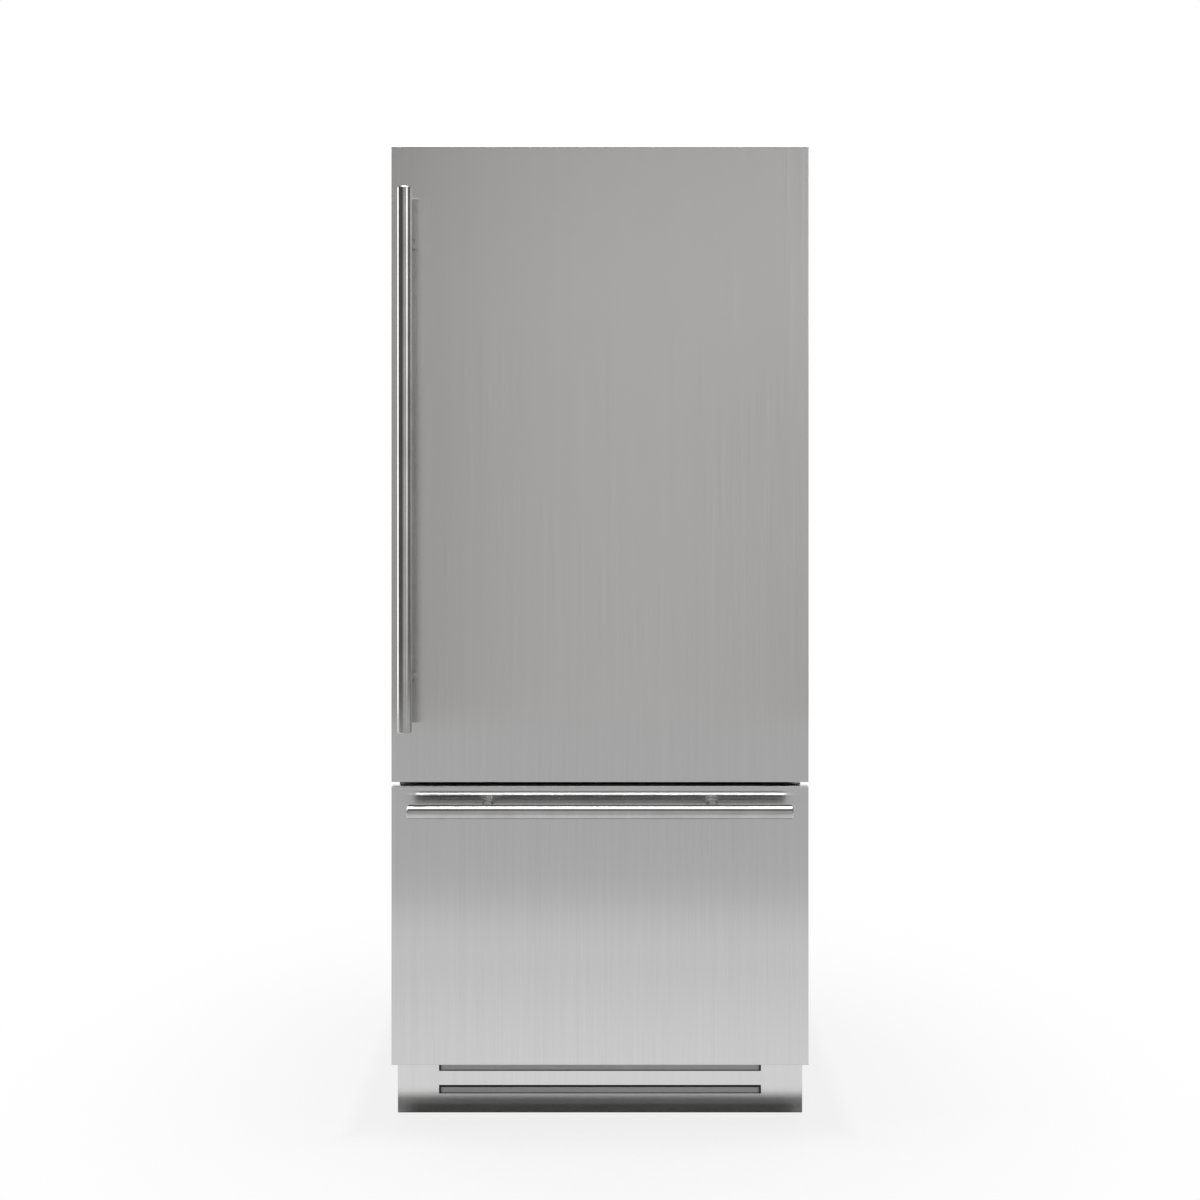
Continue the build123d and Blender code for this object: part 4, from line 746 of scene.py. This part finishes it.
# How far from its middle it turns white to the camera
VIEW_FADE = (0.5, 2.2)
VIEW_LEVELS = ((0.0, 0.84), (0.6, 1.0), (1.0, 1.0))
floor_paper, floor_tree, floor_axes = stage_material("floor_paper")
floor_verts = [(x * FLOOR_HALF, y * FLOOR_HALF, 0) for x, y in FLOOR_CORNERS]
floor = stage_piece("floor", floor_verts, [(0, 1, 2, 3)], floor_paper)
floor_rays = node(floor_tree, "ShaderNodeLightPath").outputs


def over(below, shade, share, ray):
    """An even glow laid over a floor shader for one kind of ray, by a share from 0 to 1."""
    glow = node(floor_tree, "ShaderNodeEmission", {"Color": shade}).outputs["Emission"]
    part = maths(floor_tree, "MULTIPLY", share, floor_rays[ray])
    return node(floor_tree, "ShaderNodeMixShader", {"Fac": part, 1: below, 2: glow}).outputs["Shader"]


def beyond(axis, low, high):
    """How far a floor point lies outside a span along one axis."""
    offset = maths(floor_tree, "SUBTRACT", floor_axes[axis], (low + high) / 2)
    return maths(floor_tree, "SUBTRACT", maths(floor_tree, "ABSOLUTE", offset), (high - low) / 2)


toe_low, toe_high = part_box("toe_kick")
foot_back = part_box("rear_cover")[1].y
from_foot = maths(
    floor_tree, "MAXIMUM", beyond("X", -toe_high.x, toe_high.x), beyond("Y", toe_low.y, foot_back)
)
clear_of_foot = remap(floor_tree, from_foot, *FOOT_FADE)
glowing = fade(floor_tree, clear_of_foot, ((0.0, 0.0), (1.0, 1.0)))
# Painted shade: the floor's colour is darker by the foot, where the overhang shades it
painted_foot_shade = fade(floor_tree, clear_of_foot, ((0.0, FOOT_PAINTED_SHADE), (1.0, 1.0)))
in_front = remap(floor_tree, floor_axes["Y"], *(front_y - reach for reach in PAINTED_POOL_REACH))
# Painted pool of light: the floor's colour, and the glow that the steel mirrors, lighter by the door and
# greyer further in front
painted_pool = fade(floor_tree, in_front, PAINTED_POOL_LEVELS)
squares = [maths(floor_tree, "MULTIPLY", floor_axes[axis], floor_axes[axis]) for axis in "XY"]
from_middle = maths(floor_tree, "SQRT", maths(floor_tree, "ADD", *squares))
viewed = fade(floor_tree, remap(floor_tree, from_middle, *VIEW_FADE), VIEW_LEVELS)
matte = node(floor_tree, "ShaderNodeBsdfDiffuse", {"Color": product(floor_tree, painted_pool, painted_foot_shade)})
floor_shader = over(matte.outputs["BSDF"], painted_pool, glowing, "Is Glossy Ray")
floor_shader = over(floor_shader, painted_pool, glowing, "Is Transmission Ray")
floor_shader = over(floor_shader, WHITE, viewed, "Is Camera Ray")
node(floor_tree, "ShaderNodeOutputMaterial", {"Surface": floor_shader})

# A curved studio wall round the front, out of the camera's sight: softboxes and dark gaps for the steel

WALL_RADIUS = 5.2
WALL_TOP = 9.0
WALL_STEPS = 72
WALL_REACH = math.radians(150)
WALL_LIGHT = 0.36
WALL_WARMTH = (1.0, 0.975, 0.955, 1.0)
wall_glow, wall_tree, wall_axes = stage_material("studio_wall")
wall_verts = []
for step in range(WALL_STEPS + 1):
    azimuth = -WALL_REACH + 2 * WALL_REACH * step / WALL_STEPS
    x, y = WALL_RADIUS * math.sin(azimuth), -WALL_RADIUS * math.cos(azimuth)
    wall_verts += [(x, y, 0), (x, y, WALL_TOP)]
wall_faces = [(2 * step, 2 * step + 2, 2 * step + 3, 2 * step + 1) for step in range(WALL_STEPS)]
wall = stage_piece("studio_wall", wall_verts, wall_faces, wall_glow)
wall.visible_camera = False
toward_front = maths(wall_tree, "MULTIPLY", wall_axes["Y"], -1.0)
wall_azimuth = maths(wall_tree, "ARCTAN2", wall_axes["X"], toward_front)
wall_turn = remap(wall_tree, wall_azimuth, -math.pi, math.pi)
wall_rise = remap(wall_tree, wall_axes["Z"], 0, WALL_TOP)
wall_seen = seen(wall_tree)


def wall_light(strength, around, upward):
    """One light of the wall: levels by azimuth, in degrees to the right, times levels by height."""
    sideways = fade(wall_tree, wall_turn, [(0.5 + degrees / 360, level) for degrees, level in around])
    upright = fade(wall_tree, wall_rise, [(height / WALL_TOP, level) for height, level in upward])
    shade = product(wall_tree, product(wall_tree, sideways, upright), WALL_WARMTH)
    power = fade(wall_tree, wall_seen, ((0.0, WALL_LIGHT * strength), (1.0, strength)))
    return node(wall_tree, "ShaderNodeEmission", {"Color": shade, "Strength": power}).outputs["Emission"]


room = wall_light(
    1.0,
    (
        (-150, 0.08),
        (-80, 0.14),
        (-32, 0.13),
        (-15, 0.46),
        (-7, 0.69),
        (8, 0.68),
        (18, 0.5),
        (50, 0.3),
        (66, 0.22),
        (100, 0.2),
        (125, 0.07),
    ),
    ((0.0, 1.0), (2.4, 1.0), (3.3, 0.95), (4.0, 0.45), (5.4, 0.3), (9.0, 0.25)),
)
right_box = wall_light(
    4.4,
    ((24, 0.0), (32, 0.48), (42, 0.5), (49, 0.4), (58, 0.0)),
    ((0.0, 0.2), (1.4, 0.5), (2.9, 1.0), (3.5, 1.0), (4.0, 0.0)),
)
left_box = wall_light(
    2.6,
    ((-149, 0.0), (-138, 1.0), (-106, 1.0), (-97, 0.0)),
    ((0.0, 1.0), (4.0, 1.0), (5.0, 0.0)),
)
lights = room
for box in (right_box, left_box):
    lights = node(wall_tree, "ShaderNodeAddShader", {0: lights, 1: box}).outputs["Shader"]
node(wall_tree, "ShaderNodeOutputMaterial", {"Surface": lights})


def soft_lamp(name, place, aim, size, watts):
    """A large soft area lamp, out of the camera's sight."""
    lamp = bpy.data.lights.new(name, "AREA")
    lamp.shape = "RECTANGLE"
    lamp.size, lamp.size_y = size
    lamp.energy = watts
    held = bpy.data.objects.new(name, lamp)
    held.location = place
    held.rotation_euler = (Vector(aim) - Vector(place)).to_track_quat("-Z", "Y").to_euler()
    scene.collection.objects.link(held)
    held.visible_camera = False
    return held


def ceiling_lamp(name, behind_front, height, size, watts):
    """A soft lamp that points straight down, so far behind the plane of the door's front."""
    y = front_y + behind_front
    return soft_lamp(name, (0, y, height), (0, y, 0), size, watts)


ceiling_lamp("overhead", behind_front=1.3, height=4.9, size=(3.8, 2.0), watts=40)
ceiling_lamp("front_lamp", behind_front=0.2, height=4.8, size=(3.2, 0.8), watts=140)
gloss_lamp = ceiling_lamp("gloss_lamp", behind_front=-0.7, height=4.9, size=(3.8, 1.6), watts=46)
gloss_lamp.visible_diffuse = False

# Two low lamps in front that light the inside when the door is open, and aren't mirrored in the steel

FILL_SIDE = 2.8
FILL_DISTANCE = 3.6
FILL_HEIGHT = 0.13
FILL_AIM = 1.2
FILL_SIZE = (1.8, 0.2)
FILL_WATTS = 100
for side in (-1, 1):
    fill_place = (side * FILL_SIDE, front_y - FILL_DISTANCE, FILL_HEIGHT)
    fill = soft_lamp("fill_lamp", fill_place, (0, front_y, FILL_AIM), FILL_SIZE, FILL_WATTS)
    fill.visible_glossy = False

# The camera, straight in front; sensor and lens in millimetres

CAMERA_DISTANCE = 2.79
CAMERA_HEIGHT = 1.391
CAMERA_SENSOR = 36
CAMERA_LENS = 38.85
CAMERA_SHIFT = -0.1
camera_data = bpy.data.cameras.new("camera")
camera_data.sensor_width = CAMERA_SENSOR
camera_data.lens = CAMERA_LENS
camera_data.shift_y = CAMERA_SHIFT
camera = bpy.data.objects.new("camera", camera_data)
camera.location = (0, front_y - CAMERA_DISTANCE, CAMERA_HEIGHT)
camera.rotation_euler = (math.radians(90), 0, 0)
scene.collection.objects.link(camera)
scene.camera = camera
scene.view_settings.view_transform = "Standard"
